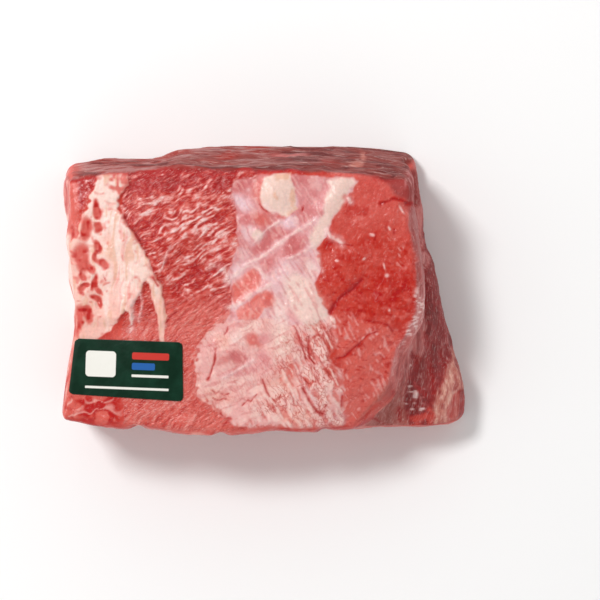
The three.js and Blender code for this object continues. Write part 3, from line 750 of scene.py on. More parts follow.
# ---- What lies where -----------------------------------------------------------------------------
def make_detail(skin):
    """The patterns that both the relief and the colours follow."""
    xy = skin.loose
    x, y = xy.T
    ragged = np.column_stack([noise(skin.plain, 1.7, seed) for seed in (7, 8)])
    fat = area(xy + 0.7 * ragged, FAT_BAND)
    silver = area(xy + 0.7 * ragged, SILVERSKIN)
    lower = area(xy + 0.8 * ragged, LOWER_MEMBRANE, 0.6)
    membrane = np.maximum(silver, lower) * skin.up
    crest = np.array(CREST)
    beyond = xy[:, 0] - np.interp(xy[:, 1], crest[:, 1], crest[:, 0])
    muscle = skin.up * (1 - fat) * (1 - membrane) * (1 - ramp(beyond, -0.5, 0.5))
    wrinkles = drawn_out(skin, 33, 4.4, 0.95, 1, 1.5) + 0.6 * drawn_out(skin, 22, 2.2, 0.55, 2, 1.2)
    wrinkles += 0.4 * noise(skin.plain, 1.1, 3)
    return SimpleNamespace(
        fat=fat, silver=silver, lower=lower, membrane=membrane, beyond=beyond, muscle=muscle,
        wet_film=muscle * ramp(-x, -5, 5) * ramp(x, -64, -60),
        stringy=lower * ramp(x + 0.5 * (-y - 30), 2, 14),
        recess=area(xy, RECESS, 1.2),
        wrinkles=wrinkles,
        threads=drawn_out(skin, -60, 5, 0.9, 4, 1.3) + 0.4 * noise(skin.plain, 1.3, 5),
        grain=noise(skin.plain + skin.warp, [26, 3, 5], 6),
        side_grain=drawn_out(skin, 82, 12, 1.2, 90, 0.8),
        pebbles=noise(skin.plain, 1.3, 9),
        ragged=ragged,
    )


# ---- Colours -------------------------------------------------------------------------------------
class Coat:
    """A colour for each point, painted over step by step in everyday 0 to 1 values."""

    SHEEN = 0.03  # light that the wet coat adds, taken off again so that the colours look as named

    def __init__(self, count, tone):
        self.values = np.tile(np.array(tone) / 255.0, (count, 1))

    def over(self, tone, amount):
        self.values += (np.array(tone) / 255.0 - self.values) * np.clip(amount, 0, 1)[:, None]

    def linear(self):
        v = np.clip(self.values, 0, 1)
        shown = np.where(v < 0.04045, v / 12.92, ((v + 0.055) / 1.055) ** 2.4)
        return np.maximum(shown - self.SHEEN, 0.004)


def line(skin, points, width):
    """1 along a line of points, whose width wavers, and 0 off it."""
    away = distance_to_line(skin.close, points, 5)
    return 1 - ramp(away, 0.4 * width * skin.pinch, 1.5 * width * skin.pinch)


def paint_muscle(coat, skin, detail):
    """The bare red muscle: deep and wet on the left, smooth on the right, paler low down."""
    p = skin.plain
    x, y = skin.loose.T
    mottle = rough(p, 8, 40)
    coat.over(MUSCLE_DEEP, ramp(mottle, 0.0, 0.9) * 0.5)
    coat.over(MUSCLE_PALE, ramp(-mottle, 0.1, 0.9) * 0.45)
    low_left = ramp(-y + 0.45 * (x + 40), 0, 18) * ramp(-x, 5, 20)
    coat.over(MUSCLE_ORANGE, low_left * 0.8)
    patches = ramp(noise(p, 5.5, 41) + 0.4 * detail.ragged[:, 0], -0.15, 0.25)
    patches *= ramp(-x, 58, 66) * ramp(-y, 44, 49)
    coat.over(MUSCLE_DEEP, patches * 0.75)
    white = ramp(strands(skin, 62, 4.5, 3.6, 42, 1.6), 0.72, 0.98)
    coat.over(MEMBRANE_PALE, white * ramp(-x, 58, 66) * ramp(-y, 46, 50) * 0.6)
    coat.over(MUSCLE_DEEP, ramp(y, 37, 46) * ramp(-x, 5, 15) * 0.65)
    coat.over(MUSCLE_ORANGE, area(skin.loose, LOWER_RIGHT, 3) * 0.75)
    coat.over(MUSCLE_PALE, ramp(y, 14, 34) * ramp(x, 24, 30) * 0.7)
    strip = ramp(-x, 79.6, 81.4) * ramp(y, 17, 21)
    coat.over(MUSCLE_ORANGE, strip * 0.85)
    coat.over(FLESH, strip * ramp(noise(p, [1.4, 2.2, 2], 43), -0.1, 0.6) * 0.6)


def paint_wet_film_highlights(coat, skin, detail):
    """Painted highlights: pale broken strokes of light on the wet film over the left muscle, with deeper red
    between them.
    """
    x, y = skin.loose.T
    film = detail.wet_film
    upper = ramp(y + 0.25 * x, -18, -6) * film
    strokes = detail.wrinkles + 0.25 * ramp(rough(skin.plain, 9, 50), -0.4, 0.4) - 0.2
    strokes -= 0.2 * ramp(y, 37, 46)
    for middle, sizes, lean, much in GLEAMS:
        strokes += much * spot(skin.loose, middle, sizes, lean, 0.8)
    coat.over(MUSCLE_DEEP, ramp(-strokes, 0.1, 0.6) * upper * 0.6)
    coat.over(FLESH, ramp(strokes, -0.15, 0.35) * upper * 0.65)
    coat.over(GLINT, ramp(strokes, 0.2, 0.65) * upper * 0.6)
    coat.over(GLINT_BRIGHT, ramp(strokes, 0.6, 0.95) * upper * 0.6)
    low = (1 - upper) * film
    low *= 1 - 0.7 * ramp(x, -36, -28) * ramp(-y, 50, 54)
    strings = drawn_out(skin, 50, 8, 1.1, 12, 1.0)
    coat.over(MUSCLE_DEEP, ramp(-strings, 0.2, 0.7) * low * 0.45)
    coat.over(MEMBRANE_PALE, ramp(strings + 0.4 * detail.wrinkles, 0.25, 0.65) * low * 0.28)


def paint_right_muscle(coat, skin, detail):
    """Darker blotches, short dark strokes and pale flecks on the smooth muscle, with painted highlights:
    glossy flecks low down, shine on the raised nodules and the wet beads.
    """
    p = skin.plain
    x, y = skin.loose.T
    right = detail.muscle * ramp(x, 18, 26)
    low = area(skin.loose, LOWER_RIGHT, 3)
    coat.over(MUSCLE_DEEP, ramp(rough(p, 5, 62), 0.1, 0.9) * right * lerp(0.35, 0.15, low))
    pores = drawn_out(skin, -12, 2.4, 0.9, 65, 0.8)
    coat.over(MUSCLE_DEEP, ramp(pores, 0.25, 0.7) * right * ramp(-y, -26, -8) * 0.5)
    coat.over(MUSCLE_PALE, ramp(noise(p, 1.5, 66), -0.2, 0.8) * right * 0.45)
    coat.over(FLESH, ramp(noise(p, 1.2, 70) + 0.4 * noise(p, 9, 67), 0.4, 1.0) * right * 0.4)
    # Painted highlights: glossy flecks on the lower right.
    flecks = drawn_out(skin, -62, 2.6, 0.8, 68, 1.0) + 0.3 * noise(p, 8, 63)
    coat.over(GLINT, ramp(flecks, 0.25, 0.7) * low * right * 0.5)
    # Painted highlight on the raised glossy nodules near the right edge.
    ridge = np.exp(-(((x - 58 + 0.25 * (y - 12)) / 3.4) ** 2) - ((y - 14) / 9) ** 2)
    coat.over(GLINT, ramp(drawn_out(skin, -48, 2.2, 0.8, 69), 0.05, 0.5) * ridge * right * 0.6)
    # Painted highlights on the wet beads.
    for middle, sizes, lean in BEAD_GLINTS:
        coat.over(GLINT_BRIGHT, spot(skin.close, middle, sizes, lean, 0.7) * 0.7)


def paint_fat(coat, skin, detail):
    """The fat band with its red islands."""
    p = skin.plain
    x, y = skin.loose.T
    fat = detail.fat * (skin.up + skin.left)
    coat.over(FAT, fat)
    coat.over(FAT_CREAM, fat * ramp(x, -62, -55) * 0.7)
    coat.over(FAT_PINK, fat * ramp(rough(p, [4, 12, 6], 70) - 0.035 * (y - 14), -0.1, 0.9) * 0.75)
    coat.over(FAT_PINK, fat * ramp(-x, 72, 84) * 0.7)
    mixed = spot(skin.loose, *MIXED_FAT, 0.5) + 0.3 * ramp(y, 38, 46)
    mixed = noise(p + 1.4 * skin.warp, 1.7, 72) + 0.8 * mixed
    coat.over(MEMBRANE_RED, fat * ramp(mixed, 0.2, 1.3) * 0.9)
    streaks = drawn_out(skin, 84, 8, 1.1, 73, 0.8)
    coat.over(FAT_TAN, fat * ramp(streaks, 0.15, 0.6) * 0.65)
    coat.over(FLESH, fat * ramp(-streaks - 0.12 * np.abs(x + 60), 0.0, 0.4) * 0.35)
    jagged = skin.xy + 1.1 * skin.warp[:, :2] + 0.5 * detail.ragged
    for middle, sizes, lean in ISLANDS:
        inside = spot(jagged, middle, sizes, lean, 0.4) * skin.up
        coat.over(MUSCLE_PALE, inside * 0.9)
        coat.over(MUSCLE, inside * 0.35)
        coat.over(MUSCLE_DEEP, inside * ramp(noise(p, 1.8, 75), 0.0, 0.6) * 0.7)
    red = skin.up * area(skin.loose, RED_CORNER, 1)
    coat.over(MUSCLE_DEEP, red * 0.85)
    # Painted glints on the wet wrinkles at the right of the red corner.
    coat.over(GLINT, red * ramp(detail.wrinkles, 0.0, 0.5) * ramp(x, -78.5, -76.5) * 0.75)


def paint_membrane(coat, skin, detail):
    """The silverskin and the pale film below it."""
    p, xy = skin.plain, skin.loose
    x, y = xy.T
    up = skin.up
    coat.over(MEMBRANE, detail.lower * up)
    coat.over(SILVER, detail.silver * up)
    coat.over(MEMBRANE_PALE, detail.lower * up * ramp(rough(p, 6, 86), 0, 0.8) * 0.7)
    coat.over(SILVER_PALE, detail.silver * up * ramp(rough(p, 6, 80), 0.0, 0.7) * 0.6)
    coat.over(SILVER_DEEP, detail.silver * up * ramp(-rough(p, 6, 83), 0.1, 0.8) * 0.5)
    coat.over(SILVER_PALE, detail.silver * up * ramp(x - 1.2 * y, -8, 12) * 0.6)
    for outline in WINDOWS:
        inside = area(xy, outline, 0.7) * up
        coat.over(MUSCLE_ORANGE, inside * 0.9)
        coat.over(FLESH, inside * ramp(drawn_out(skin, 40, 6, 1.4, 87), 0.0, 0.5) * 0.8)
    for middle, sizes, lean, tone in FILM_PATCHES:
        coat.over(tone, spot(xy, middle, sizes, lean, 0.6) * up * 0.8)
    coat.over(FAT_CREAM, area(xy, CENTRE_FAT, 2.2) * up * 0.85)
    striped = ramp(drawn_out(skin, -58, 4, 0.9, 84, 0.8), 0.1, 0.6)
    coat.over(SILVER_DEEP, striped * detail.silver * up * 0.35)
    paint_strings(coat, skin, detail)
    coat.over(FAT_CREAM, area(xy, CREAM_STRIP, 1.1) * up * 0.9)
    rim = area(xy + [1.2, 0.6], CREAM_LUMP, 1.2) * up
    coat.over(MEMBRANE_RED, rim * 0.7)
    lump = area(xy, CREAM_LUMP, 0.6) * up
    coat.over(FAT_CREAM, lump * 0.97)
    # Tan on the lump: its own tan in patches, with painted shade growing towards its right side.
    coat.over(FAT_TAN, lump * ramp(rough(p, 4, 89) + 0.1 * (x - 7), 0.1, 0.8) * 0.8)
    coat.over(FAT_CREAM, spot(skin.close, *SMALL_LUMP, 0.3) * up * 0.95)
    coat.over(MEMBRANE_RED, spot(xy, *RED_FLECK, 0.8) * up * 0.6)


def paint_strings(coat, skin, detail):
    """Red lines and pale threads in the films, thick on the lower right and few on the left."""
    up = skin.up
    plenty = lerp(0.3, 1, detail.stringy) * detail.lower * up
    pale = ramp(detail.threads, 0.12, 0.45) * detail.membrane
    coat.over(MEMBRANE_PALE, pale * lerp(0.35, 0.85, detail.stringy))
    coat.over(MEMBRANE_RED, ramp(-detail.threads, 0.1, 0.55) * detail.stringy * up * 0.6)
    veins = ramp(strands(skin, -64, 5, 1.5, 88, 2.0), 0.78, 1.0)
    coat.over(VEIN, veins * plenty * ramp(noise(skin.plain, 4, 94), -0.2, 0.4) * 0.7)
    fringe = ramp(1 - area(skin.loose, LOWER_MEMBRANE, 3.5), 0.05, 0.4) * detail.lower * up
    dashes = ramp(noise(skin.plain + skin.warp, [1.2, 1.8, 2], 106), 0.05, 0.45)
    coat.over(VEIN, fringe * dashes * ramp(-skin.loose[:, 0], 5, 15) * 0.7)
    hatching = ramp(drawn_out(skin, 25, 8, 1.1, 95, 1.2), 0.2, 0.6)
    coat.over(SILVER_DEEP, hatching * detail.lower * (1 - detail.stringy) * up * 0.3)


def paint_lines(coat, skin):
    """The tendons, and the splits, painted dark red in them and round them as shade."""
    torn = skin.up * ramp(noise(skin.plain, 1.6, 92), -0.6, 0.2)
    for points, width in TENDONS:
        coat.over(SILVER_PALE, line(skin, points, 2.4 * width) * skin.up * 0.35)
        coat.over(TENDON, line(skin, points, 0.9 * width) * torn * 0.65)
    middle, lean = WHORL
    outer, inner = (spot(skin.loose, middle, sizes, lean, 0.12) for sizes in WHORL_SIZES)
    coat.over(VEIN, (outer - inner) * skin.up * ramp(noise(skin.plain, 3, 91), -0.7, 0) * 0.85)
    seen = skin.up + skin.right
    broken = ramp(noise(skin.plain, 1.8, 85), -0.5, 0.1)
    for points, width, depth in CRACKS:
        shown = seen * lerp(broken, 1, min(1, 0.6 * depth))
        # Painted shade: deep red round each split and darker red down its middle.
        coat.over(MUSCLE_DEEP, line(skin, points, 1.7 * width) * min(1, 0.5 * depth) * shown)
        coat.over(SPLIT_SHADE, line(skin, points, 0.6 * width) * 0.6 * shown)


def paint_right_side(coat, skin, detail):
    """The parted muscles of the right side, dark and partly dried, with fat on the lower one."""
    p, xy = skin.plain, skin.loose
    x, y = xy.T
    side = ramp(detail.beyond, -0.6, 0.8) * (1 - skin.far) * (1 - skin.near) * (1 - skin.base)
    # Painted shade on the near right corner of the top, where it falls away.
    coat.over(SHADE_BROWN, area(xy, SHADED_NEAR_CORNER, 3) * skin.up * 0.75)
    coat.over(MAUVE, side)
    coat.over(MAUVE_DARK, side * ramp(-detail.side_grain, 0.05, 0.6) * 0.75)
    coat.over(MAUVE_PALE, side * ramp(detail.side_grain, 0.1, 0.6) * 0.55)
    # Painted shade towards the near end of the right side.
    coat.over(SHADE_BROWN, side * ramp(-y, 38, 55) * 0.6)
    seam = np.interp(y, *np.array(SEAM_SEEN)[:, ::-1].T)
    lower = ramp(x - seam, -0.4, 0.8) * side
    coat.over(LOBE, lower)
    lumps = drawn_out(skin, 78, 8, 2.2, 92, 1.6) + 0.5 * drawn_out(skin, 84, 5, 0.9, 93, 1)
    coat.over(LOBE_DARK, lower * ramp(-lumps, 0.05, 0.6) * 0.45)
    coat.over(LOBE_PALE, lower * ramp(lumps, 0.25, 0.8) * 0.4)
    coat.over(LOBE_PALE, lower * ramp(noise(p, 1.3, 94) + 0.4 * noise(p, 5, 95), 0.2, 0.7) * 0.45)
    coat.over(LOBE_DARK, lower * ramp(noise(p, 1.6, 107), 0.1, 0.6) * 0.45)
    # Painted highlight along the crest of the upper muscle, beside the seam.
    pale_edge = distance_to_line(xy, [(x - 1.3, y) for x, y in SEAM_SEEN[4:10]], 5)
    coat.over(MAUVE_PALE, (1 - ramp(pale_edge, 0.4, 1.4)) * side * 0.25)
    coat.over(MAUVE_DARK, area(xy, SUB_LOBE, 0.8) * side * 0.9)
    # The hollow: painted shade, dark red in patches, with painted glints between them.
    recess = detail.recess * side
    coat.over(MAUVE_DARK, recess)
    coat.over(HOLLOW_SHADE, recess * ramp(detail.pebbles, -0.3, 0.2) * 0.9)
    coat.over(GLINT_BRIGHT, recess * ramp(-detail.pebbles, 0.3, 0.55) * 0.75)
    paint_side_fat(coat, skin, side)
    coat.over(MUSCLE, area(xy, NEAR_RED, 0.9) * side * ramp(rough(p, 3, 98), -0.5, 0.1) * 0.9)
    paint_crest(coat, skin, detail, side)
    low = side * (1 - ramp(skin.w, 0.06, 0.25))
    coat.over(LOBE, low * ramp(noise(p, [30, 30, 4], 97), -0.2, 0.5) * 0.5)


def paint_crest(coat, skin, detail, side):
    """Wet beads of light along the edge between the top and the right side, which is dark further up."""
    y = skin.loose[:, 1]
    glint = np.exp(-(((detail.beyond - 1.3) / 1.9) ** 2)) * ramp(-y, -3, 6)
    glint *= ramp(y, -31, -18)
    glint *= ramp(skin.w, 0.7, 0.88)
    coat.over(MAUVE_PALE, glint * 0.5)
    upper_edge = np.exp(-(((detail.beyond - 1.2) / 2) ** 2)) * ramp(y, -4, 4)
    coat.over(MAUVE_DARK, upper_edge * ramp(skin.w, 0.5, 0.8) * side * 0.6)
    beads = drawn_out(skin, 12, 2.6, 0.55, 96, 0.4)
    coat.over(GLINT_BRIGHT, glint * ramp(beads, -0.1, 0.5) * 0.85)
    edge = np.exp(-((detail.beyond / 0.7) ** 2)) * (skin.up + skin.right) * (1 - skin.near)
    edge *= ramp(beads, 0.1, 0.6)
    coat.over(GLINT, edge * ramp(-y, -30, -10) * ramp(y, -40, -25) * 0.35)


def paint_side_fat(coat, skin, side):
    """The streaked fat at the near end of the right side, and the muscle cut through beside it."""
    xy = skin.loose
    fat = area(xy, SIDE_FAT_SEEN, 0.9) * side
    coat.over(SIDE_FAT, fat * 0.95)
    streaks = drawn_out(skin, 100, 6, 1, 99, 1.6)
    coat.over(SIDE_FAT_PALE, fat * ramp(streaks, 0.1, 0.5) * 0.6)
    coat.over(MAUVE_DARK, fat * ramp(-streaks, 0.2, 0.6) * 0.7)
    muscle = area(xy, END_MUSCLE, 0.7) * side
    coat.over(SIDE_FAT_PALE, area(xy + [0.8, -0.8], END_MUSCLE, 0.7) * side * 0.7)
    coat.over(MAUVE_DARK, muscle * 0.6)
    coat.over(MEMBRANE_RED, muscle * 0.3)
    coat.over(MUSCLE_DEEP, muscle * ramp(drawn_out(skin, 80, 6, 1.8, 105), 0.1, 0.6) * 0.4)
    coat.over(MUSCLE_DEEP, ramp(xy[:, 0] - 0.02 * xy[:, 1], 85.4, 86.2) * side * 0.8)


def paint_far_side(coat, skin, detail):
    """The cut and dried far side, with the grain of the muscle running along it."""
    p = skin.plain
    x, y = skin.loose.T
    edge = np.interp(x, *np.array(FAR_EDGE).T)
    band = np.maximum(ramp(y - edge, -0.5, 0.9) * (skin.up + skin.far), skin.far)
    coat.over(DRIED, band)
    coat.over(DRIED_RED, band * ramp(noise(p + skin.warp, [26, 4, 7], 102) - 0.012 * x, 0.1, 0.7) * 0.5)
    fine = noise(p + skin.warp, [20, 1.1, 2.6], 100)
    coat.over(DRIED_PALE, band * ramp(0.7 * detail.grain + fine - 0.006 * (x + 20), 0.15, 0.6) * 0.65)
    coat.over(BROWN_DARK, band * ramp(x, -20, 34) * 0.5)
    coat.over(DRIED_DARK, band * ramp(-0.6 * detail.grain - fine, 0.1, 0.65) * 0.75)
    for middle, sizes, lean, tone in FAR_MARKS:
        coat.over(tone, spot(skin.loose, middle, sizes, lean, 0.6) * band * 0.8)
    lip = np.exp(-(((y - edge) / 0.9) ** 2)) * (skin.up + skin.far) * ramp(skin.w, 0.8, 0.95)
    coat.over(MUSCLE_DEEP, lip * ramp(noise(p, 12, 103), -0.6, 0.3) * 0.75)
    coat.over(MUSCLE_PALE, ramp(-x, 76, 85) * ramp(y, 44, 50) * (skin.far + skin.left) * 0.8)
    tongue = area(skin.loose, CORNER_TONGUE, 1.6) * (skin.up + skin.right)
    coat.over(MAUVE_DARK, tongue * ramp(x, 44, 58) * 0.95)
    coat.over(MAUVE_PALE, tongue * ramp(detail.side_grain, 0.1, 0.7) * ramp(x, 50, 60) * 0.6)


def paint_near_side(coat, skin, detail):
    """The cut near side: lobes of red muscle, each with its own run of the grain, and fat between them."""
    p = skin.plain
    near = skin.near
    coat.over(MUSCLE, near)
    coat.over(MUSCLE_DEEP, near * ramp(rough(p, [16, 9, 8], 113), 0.0, 0.8) * 0.6)
    lobe = np.searchsorted(NEAR_SEAMS, p[:, 0] - NEAR_SEAM_LEAN * (p[:, 2] - NEAR_SEAM_LEVEL))
    grain = np.choose(lobe, [drawn_out(skin, turn, 11, 1.3, 110, 1.0, FROM_NEAR) for turn in NEAR_GRAIN])
    coat.over(MUSCLE_DEEP, near * ramp(-grain, 0.05, 0.7) * 0.6)
    coat.over(MUSCLE_ORANGE, near * ramp(grain, 0.05, 0.6) * 0.65)
    coat.over(FAT_PINK, near * ramp(grain + 0.5 * noise(p, 8, 114), 0.65, 0.95) * 0.7)
    away = near_seam_distance(skin) + 0.8 * noise(p, 4, 111) + 0.5 * detail.ragged[:, 0]
    seams = near * (1 - ramp(away, 0.5, 1.8))
    coat.over(FAT_PINK, seams * ramp(noise(p, 9, 112), -0.3, 0.4) * 0.85)
    film = ramp(p[:, 2] + 5 * rough(p, 7, 115), 50, 57)
    coat.over(MEMBRANE, near * film * ramp(-p[:, 0], -40, 20) * 0.5)


def paint_left_side(coat, skin):
    """The left side: fat runs down from the band on top, between patches of red muscle."""
    p = skin.plain
    _, y, z = p.T
    left = skin.left
    coat.over(MUSCLE_PALE, left)
    grain = drawn_out(skin, 10, 12, 1.3, 120, 0.8, FROM_LEFT)
    coat.over(MUSCLE_DEEP, left * ramp(-grain, 0.05, 0.6) * 0.55)
    cover = rough(p + 3 * skin.warp, [12, 13, 11], 121) + 0.035 * (22 - np.abs(y - 2))
    cover += 0.025 * (z - 34)
    cover += 0.5 * grain
    coat.over(FAT_PINK, left * ramp(cover, -0.35, 0.25) * 0.8)
    coat.over(FAT, left * ramp(cover + 0.3 * rough(p, 5, 123), 0.1, 0.6) * 0.9)


def paint_base(coat, skin):
    """The flat base, which stays damp: muscle with large pale patches of film."""
    p = skin.plain
    coat.over(MUSCLE, skin.base)
    coat.over(MEMBRANE_PALE, skin.base * ramp(rough(p, 26, 130), 0.25, 0.6) * 0.8)
    coat.over(MUSCLE_DEEP, skin.base * ramp(-rough(p, 14, 133), 0.2, 0.9) * 0.5)


def paint_roast(skin, detail):
    coat = Coat(len(skin.plain), MUSCLE)
    paint_muscle(coat, skin, detail)
    paint_wet_film_highlights(coat, skin, detail)
    paint_right_muscle(coat, skin, detail)
    paint_fat(coat, skin, detail)
    paint_membrane(coat, skin, detail)
    paint_near_side(coat, skin, detail)
    paint_left_side(coat, skin)
    paint_right_side(coat, skin, detail)
    paint_far_side(coat, skin, detail)
    paint_lines(coat, skin)
    paint_base(coat, skin)
    return coat.linear()


# ---- Materials -----------------------------------------------------------------------------------
def new_material(name):
    material = bpy.data.materials.new(name)
    material.use_nodes = True
    return material, material.node_tree, material.node_tree.nodes["Principled BSDF"]


def feed(tree, node, inputs):
    """Links each input of a node to a socket, or sets its value."""
    for socket, value in inputs.items():
        if isinstance(value, bpy.types.NodeSocket):
            tree.links.new(value, node.inputs[socket])
        else:
            node.inputs[socket].default_value = value


def add_node(tree, kind, inputs, **settings):
    node = tree.nodes.new("ShaderNode" + kind)
    for name, value in settings.items():
        setattr(node, name, value)
    feed(tree, node, inputs)
    return node


def stored(tree, name, output="Fac"):
    """What the mesh stores at each point under a name."""
    return add_node(tree, "Attribute", {}, attribute_name=name).outputs[output]


def cloud(tree, place, scale, detail, **more):
    """Blender's own noise, from 0 to 1."""
    node = add_node(tree, "TexNoise", {"Vector": place, "Scale": scale, "Detail": detail, **more})
    return node.outputs["Fac"]


def ranged(tree, value, low, high, at_low, at_high):
    """From at_low where the value is low to at_high where it is high."""
    ends = {"From Min": low, "From Max": high, "To Min": at_low, "To Max": at_high}
    return add_node(tree, "MapRange", {"Value": value, **ends}).outputs["Result"]


def product(tree, a, b):
    return add_node(tree, "Math", {0: a, 1: b}, operation="MULTIPLY").outputs[0]


def laid_over(tree, below, above, factor, blend="MIX"):
    """One colour over another, as strongly as the factor says."""
    node = add_node(tree, "Mix", {0: factor, 6: below, 7: above}, data_type="RGBA", blend_type=blend)
    return node.outputs[2]


def bumps(tree, layers):
    """The normal of several layers together, each with its height, its strength and its depth in metres."""
    below = {}
    for height, strength, depth in layers:
        node = add_node(tree, "Bump", {"Height": height, "Strength": strength, "Distance": depth, **below})
        below = {"Normal": node.outputs["Normal"]}
    return node.outputs["Normal"]


def meat_material():
    """Wet raw meat: the painted colour with fine grain on it, under a thin glossy wet coat."""
    material, tree, shader = new_material("raw_meat")
    place = add_node(tree, "TexCoord", {}).outputs["Object"]
    tone = stored(tree, "tone", "Vector")
    dryness = stored(tree, "dryness")
    grain = cloud(tree, place, 900, 3)
    speck = cloud(tree, place, 420, 3)
    tone = laid_over(tree, tone, ranged(tree, grain, 0.3, 0.7, 0.92, 1.05), 0.9, "MULTIPLY")
    strokes = stroke_nodes(tree)
    # The strokes: painted shade where they sink and painted highlight where they rise, over the grain's own
    # tone.
    tone = laid_over(tree, tone, STROKE_GRAIN_SHADE, ranged(tree, strokes, -0.03, -0.2, 0, 0.75), "MULTIPLY")
    tone = laid_over(tree, tone, STROKE_GRAIN_HIGHLIGHT, ranged(tree, strokes, 0.03, 0.2, 0, 0.75), "SCREEN")
    tone = laid_over(tree, tone, STROKE_RED, vein_nodes(tree), "MULTIPLY")
    roughness = ranged(tree, dryness, 0, 1, 0.34, 0.65)
    wetness = ranged(tree, dryness, 0, 1, 0.35, 0)
    normal = bumps(tree, [(grain, 0.3, 0.0002), (strokes, 0.7, 0.0005), (speck, 0.5, 0.0006)])
    feed(tree, shader, {
        "Base Color": tone, "Roughness": roughness, "Normal": normal, "IOR": 1.36,
        "Coat Weight": wetness, "Coat Normal": normal, "Coat Roughness": 0.12, "Coat IOR": 1.4,
        "Subsurface Weight": 0.12, "Subsurface Radius": (1.0, 0.3, 0.2), "Subsurface Scale": 0.0015,
    })
    return material


def stroke_nodes(tree):
    """Fine strokes along the fibres, about -0.3 to 0.3 times the strength stored at each place."""
    fibre = stored(tree, "fibre", "Vector")
    strokes = cloud(tree, fibre, 1, 3, Roughness=0.6, Distortion=0.7)
    level = add_node(tree, "Math", {0: strokes, 1: 0.5}, operation="SUBTRACT").outputs[0]
    return product(tree, level, stored(tree, "fibre_strength"))


def vein_nodes(tree):
    """A net of thin lines between long cells that lie along the fibres, as dense as stored at each place."""
    fibre = stored(tree, "fibre", "Vector")
    bend_by = add_node(tree, "TexNoise", {"Vector": fibre, "Scale": 0.8, "Detail": 2}).outputs["Color"]
    bent = add_node(tree, "VectorMath", {0: bend_by, 1: (1.6, 1.6, 1.6), 2: fibre}, operation="MULTIPLY_ADD")
    near_edge = {"Vector": bent.outputs[0], "Scale": 0.5}
    cells = add_node(tree, "TexVoronoi", near_edge, feature="DISTANCE_TO_EDGE")
    net = ranged(tree, cells.outputs["Distance"], 0.09, 0, 0, 1)
    return product(tree, net, stored(tree, "veins"))


# ---- Meshes and pieces -----------------------------------------------------------------------------
def make_object(name, points, faces, corners, material):
    """A smooth mesh object from points in millimetres, with its place on the texture sheet."""
    mesh = bpy.data.meshes.new(name)
    mesh.from_pydata(points * MM, [], faces)
    sheet = mesh.uv_layers.new(name="OFBake")
    sheet.data.foreach_set("uv", np.asarray(corners, np.float32).ravel())
    mesh.shade_smooth()
    mesh.materials.append(material)
    piece = bpy.data.objects.new(name, mesh)
    bpy.context.scene.collection.objects.link(piece)
    return piece


def store(mesh, name, values):
    """Keeps a value or a row of three values for each point of the mesh."""
    kind, slot = ("FLOAT", "value") if values.ndim == 1 else ("FLOAT_VECTOR", "vector")
    mesh.attributes.new(name, kind, "POINT").data.foreach_set(slot, values.astype(np.float32).ravel())


def fibre_places(skin, detail):
    """Each point's place along and across the fibres, their strength, and 0 where two kinds meet."""
    side = ramp(detail.beyond, -0.6, 0.8)
    cream = np.maximum(area(skin.loose, CREAM_LUMP), area(skin.loose, CREAM_STRIP))
    kinds = [  # where, direction, axes, length and width of a stroke, strength
        (np.ones(len(side)), 60, FROM_ABOVE, 1.6, 0.9, 0.45),
        (detail.fat, 88, FROM_ABOVE, 5, 0.9, 0.12),
        (detail.membrane, -58, FROM_ABOVE, 2.6, 0.7, 0.35),
        (detail.wet_film, 33, FROM_ABOVE, 2.2, 0.55, 1.0),
        (cream, 70, FROM_ABOVE, 3, 1, 0.1),
        (side, 80, FROM_ABOVE, 5, 0.7, 0.9),
        (skin.far, 0, FROM_NEAR, 7, 1.2, 1.0),
        (skin.near, 5, FROM_NEAR, 6, 0.9, 0.7),
        (skin.left, 5, FROM_LEFT, 6, 0.9, 0.6),
    ]
    bent = skin.plain + 0.7 * skin.warp
    place, strength, calm = np.zeros_like(bent), np.zeros(len(bent)), np.ones(len(bent))
    for where, degrees, axes, length, width, shown in kinds:
        chosen = where > 0.5
        calm *= ramp(np.abs(where - 0.5), 0.05, 0.35)
        place[chosen] = (turned(bent[:, axes], degrees) / [length, width, width])[chosen]
        strength[chosen] = shown
    return place, strength, calm


def vein_density(skin, detail):
    """How thick the net of veins is: thin on bare muscle, thickest on the stringy part of the film."""
    veins = detail.muscle * lerp(0.25, 0.6, detail.wet_film)
    veins += detail.lower * skin.up * lerp(0.35, 1, detail.stringy)
    return veins * ramp(noise(skin.plain, 6, 131), -0.6, 0.3)


def dryness(skin, detail):
    """From 0 where the meat is wet to 1 where it is dry."""
    dry = 0.6 * detail.fat + skin.far + 0.35 * detail.membrane + 0.6 * skin.right * (1 - detail.recess)
    return np.clip(dry + area(skin.loose, CORNER_TONGUE, 1.5), 0, 1)


def make_roast():
    net = Net(MESH_STEP)
    skin = make_skin(net)
    detail = make_detail(skin)
    points = skin.plain + skin.normal * relief(skin, detail)[:, None]
    piece = make_object("raw_roast", points, net.faces, np.vstack(net.corners), meat_material())
    place, strength, calm = fibre_places(skin, detail)
    store(piece.data, "tone", paint_roast(skin, detail))
    store(piece.data, "fibre", place)
    store(piece.data, "fibre_strength", strength * calm)
    store(piece.data, "veins", calm * vein_density(skin, detail))
    store(piece.data, "dryness", dryness(skin, detail))
    return piece


def top_points(x, y):
    """Points on the plain top over X and Y. Beyond 1, s and t go on down the top's rounded edge."""
    s, t = x / HALF_LENGTH, y / HALF_WIDTH
    for _ in range(40):
        ring = np.maximum(np.maximum(np.abs(s), np.abs(t)), 1)
        turn = np.minimum((ring - 1) * HALF_LENGTH / TOP_ROUND, math.pi / 2)
        u, v = plan(s / ring, t / ring, TOP_ROUND * (1 - np.sin(turn)))
        here = bend(u, v, 1 - TOP_ROUND * (1 - np.cos(turn)) / BLOCK_HEIGHT)
        s = s + 0.7 * (x - here[:, 0]) / HALF_LENGTH
        t = t + 0.7 * (y - here[:, 1]) / HALF_WIDTH
    return here


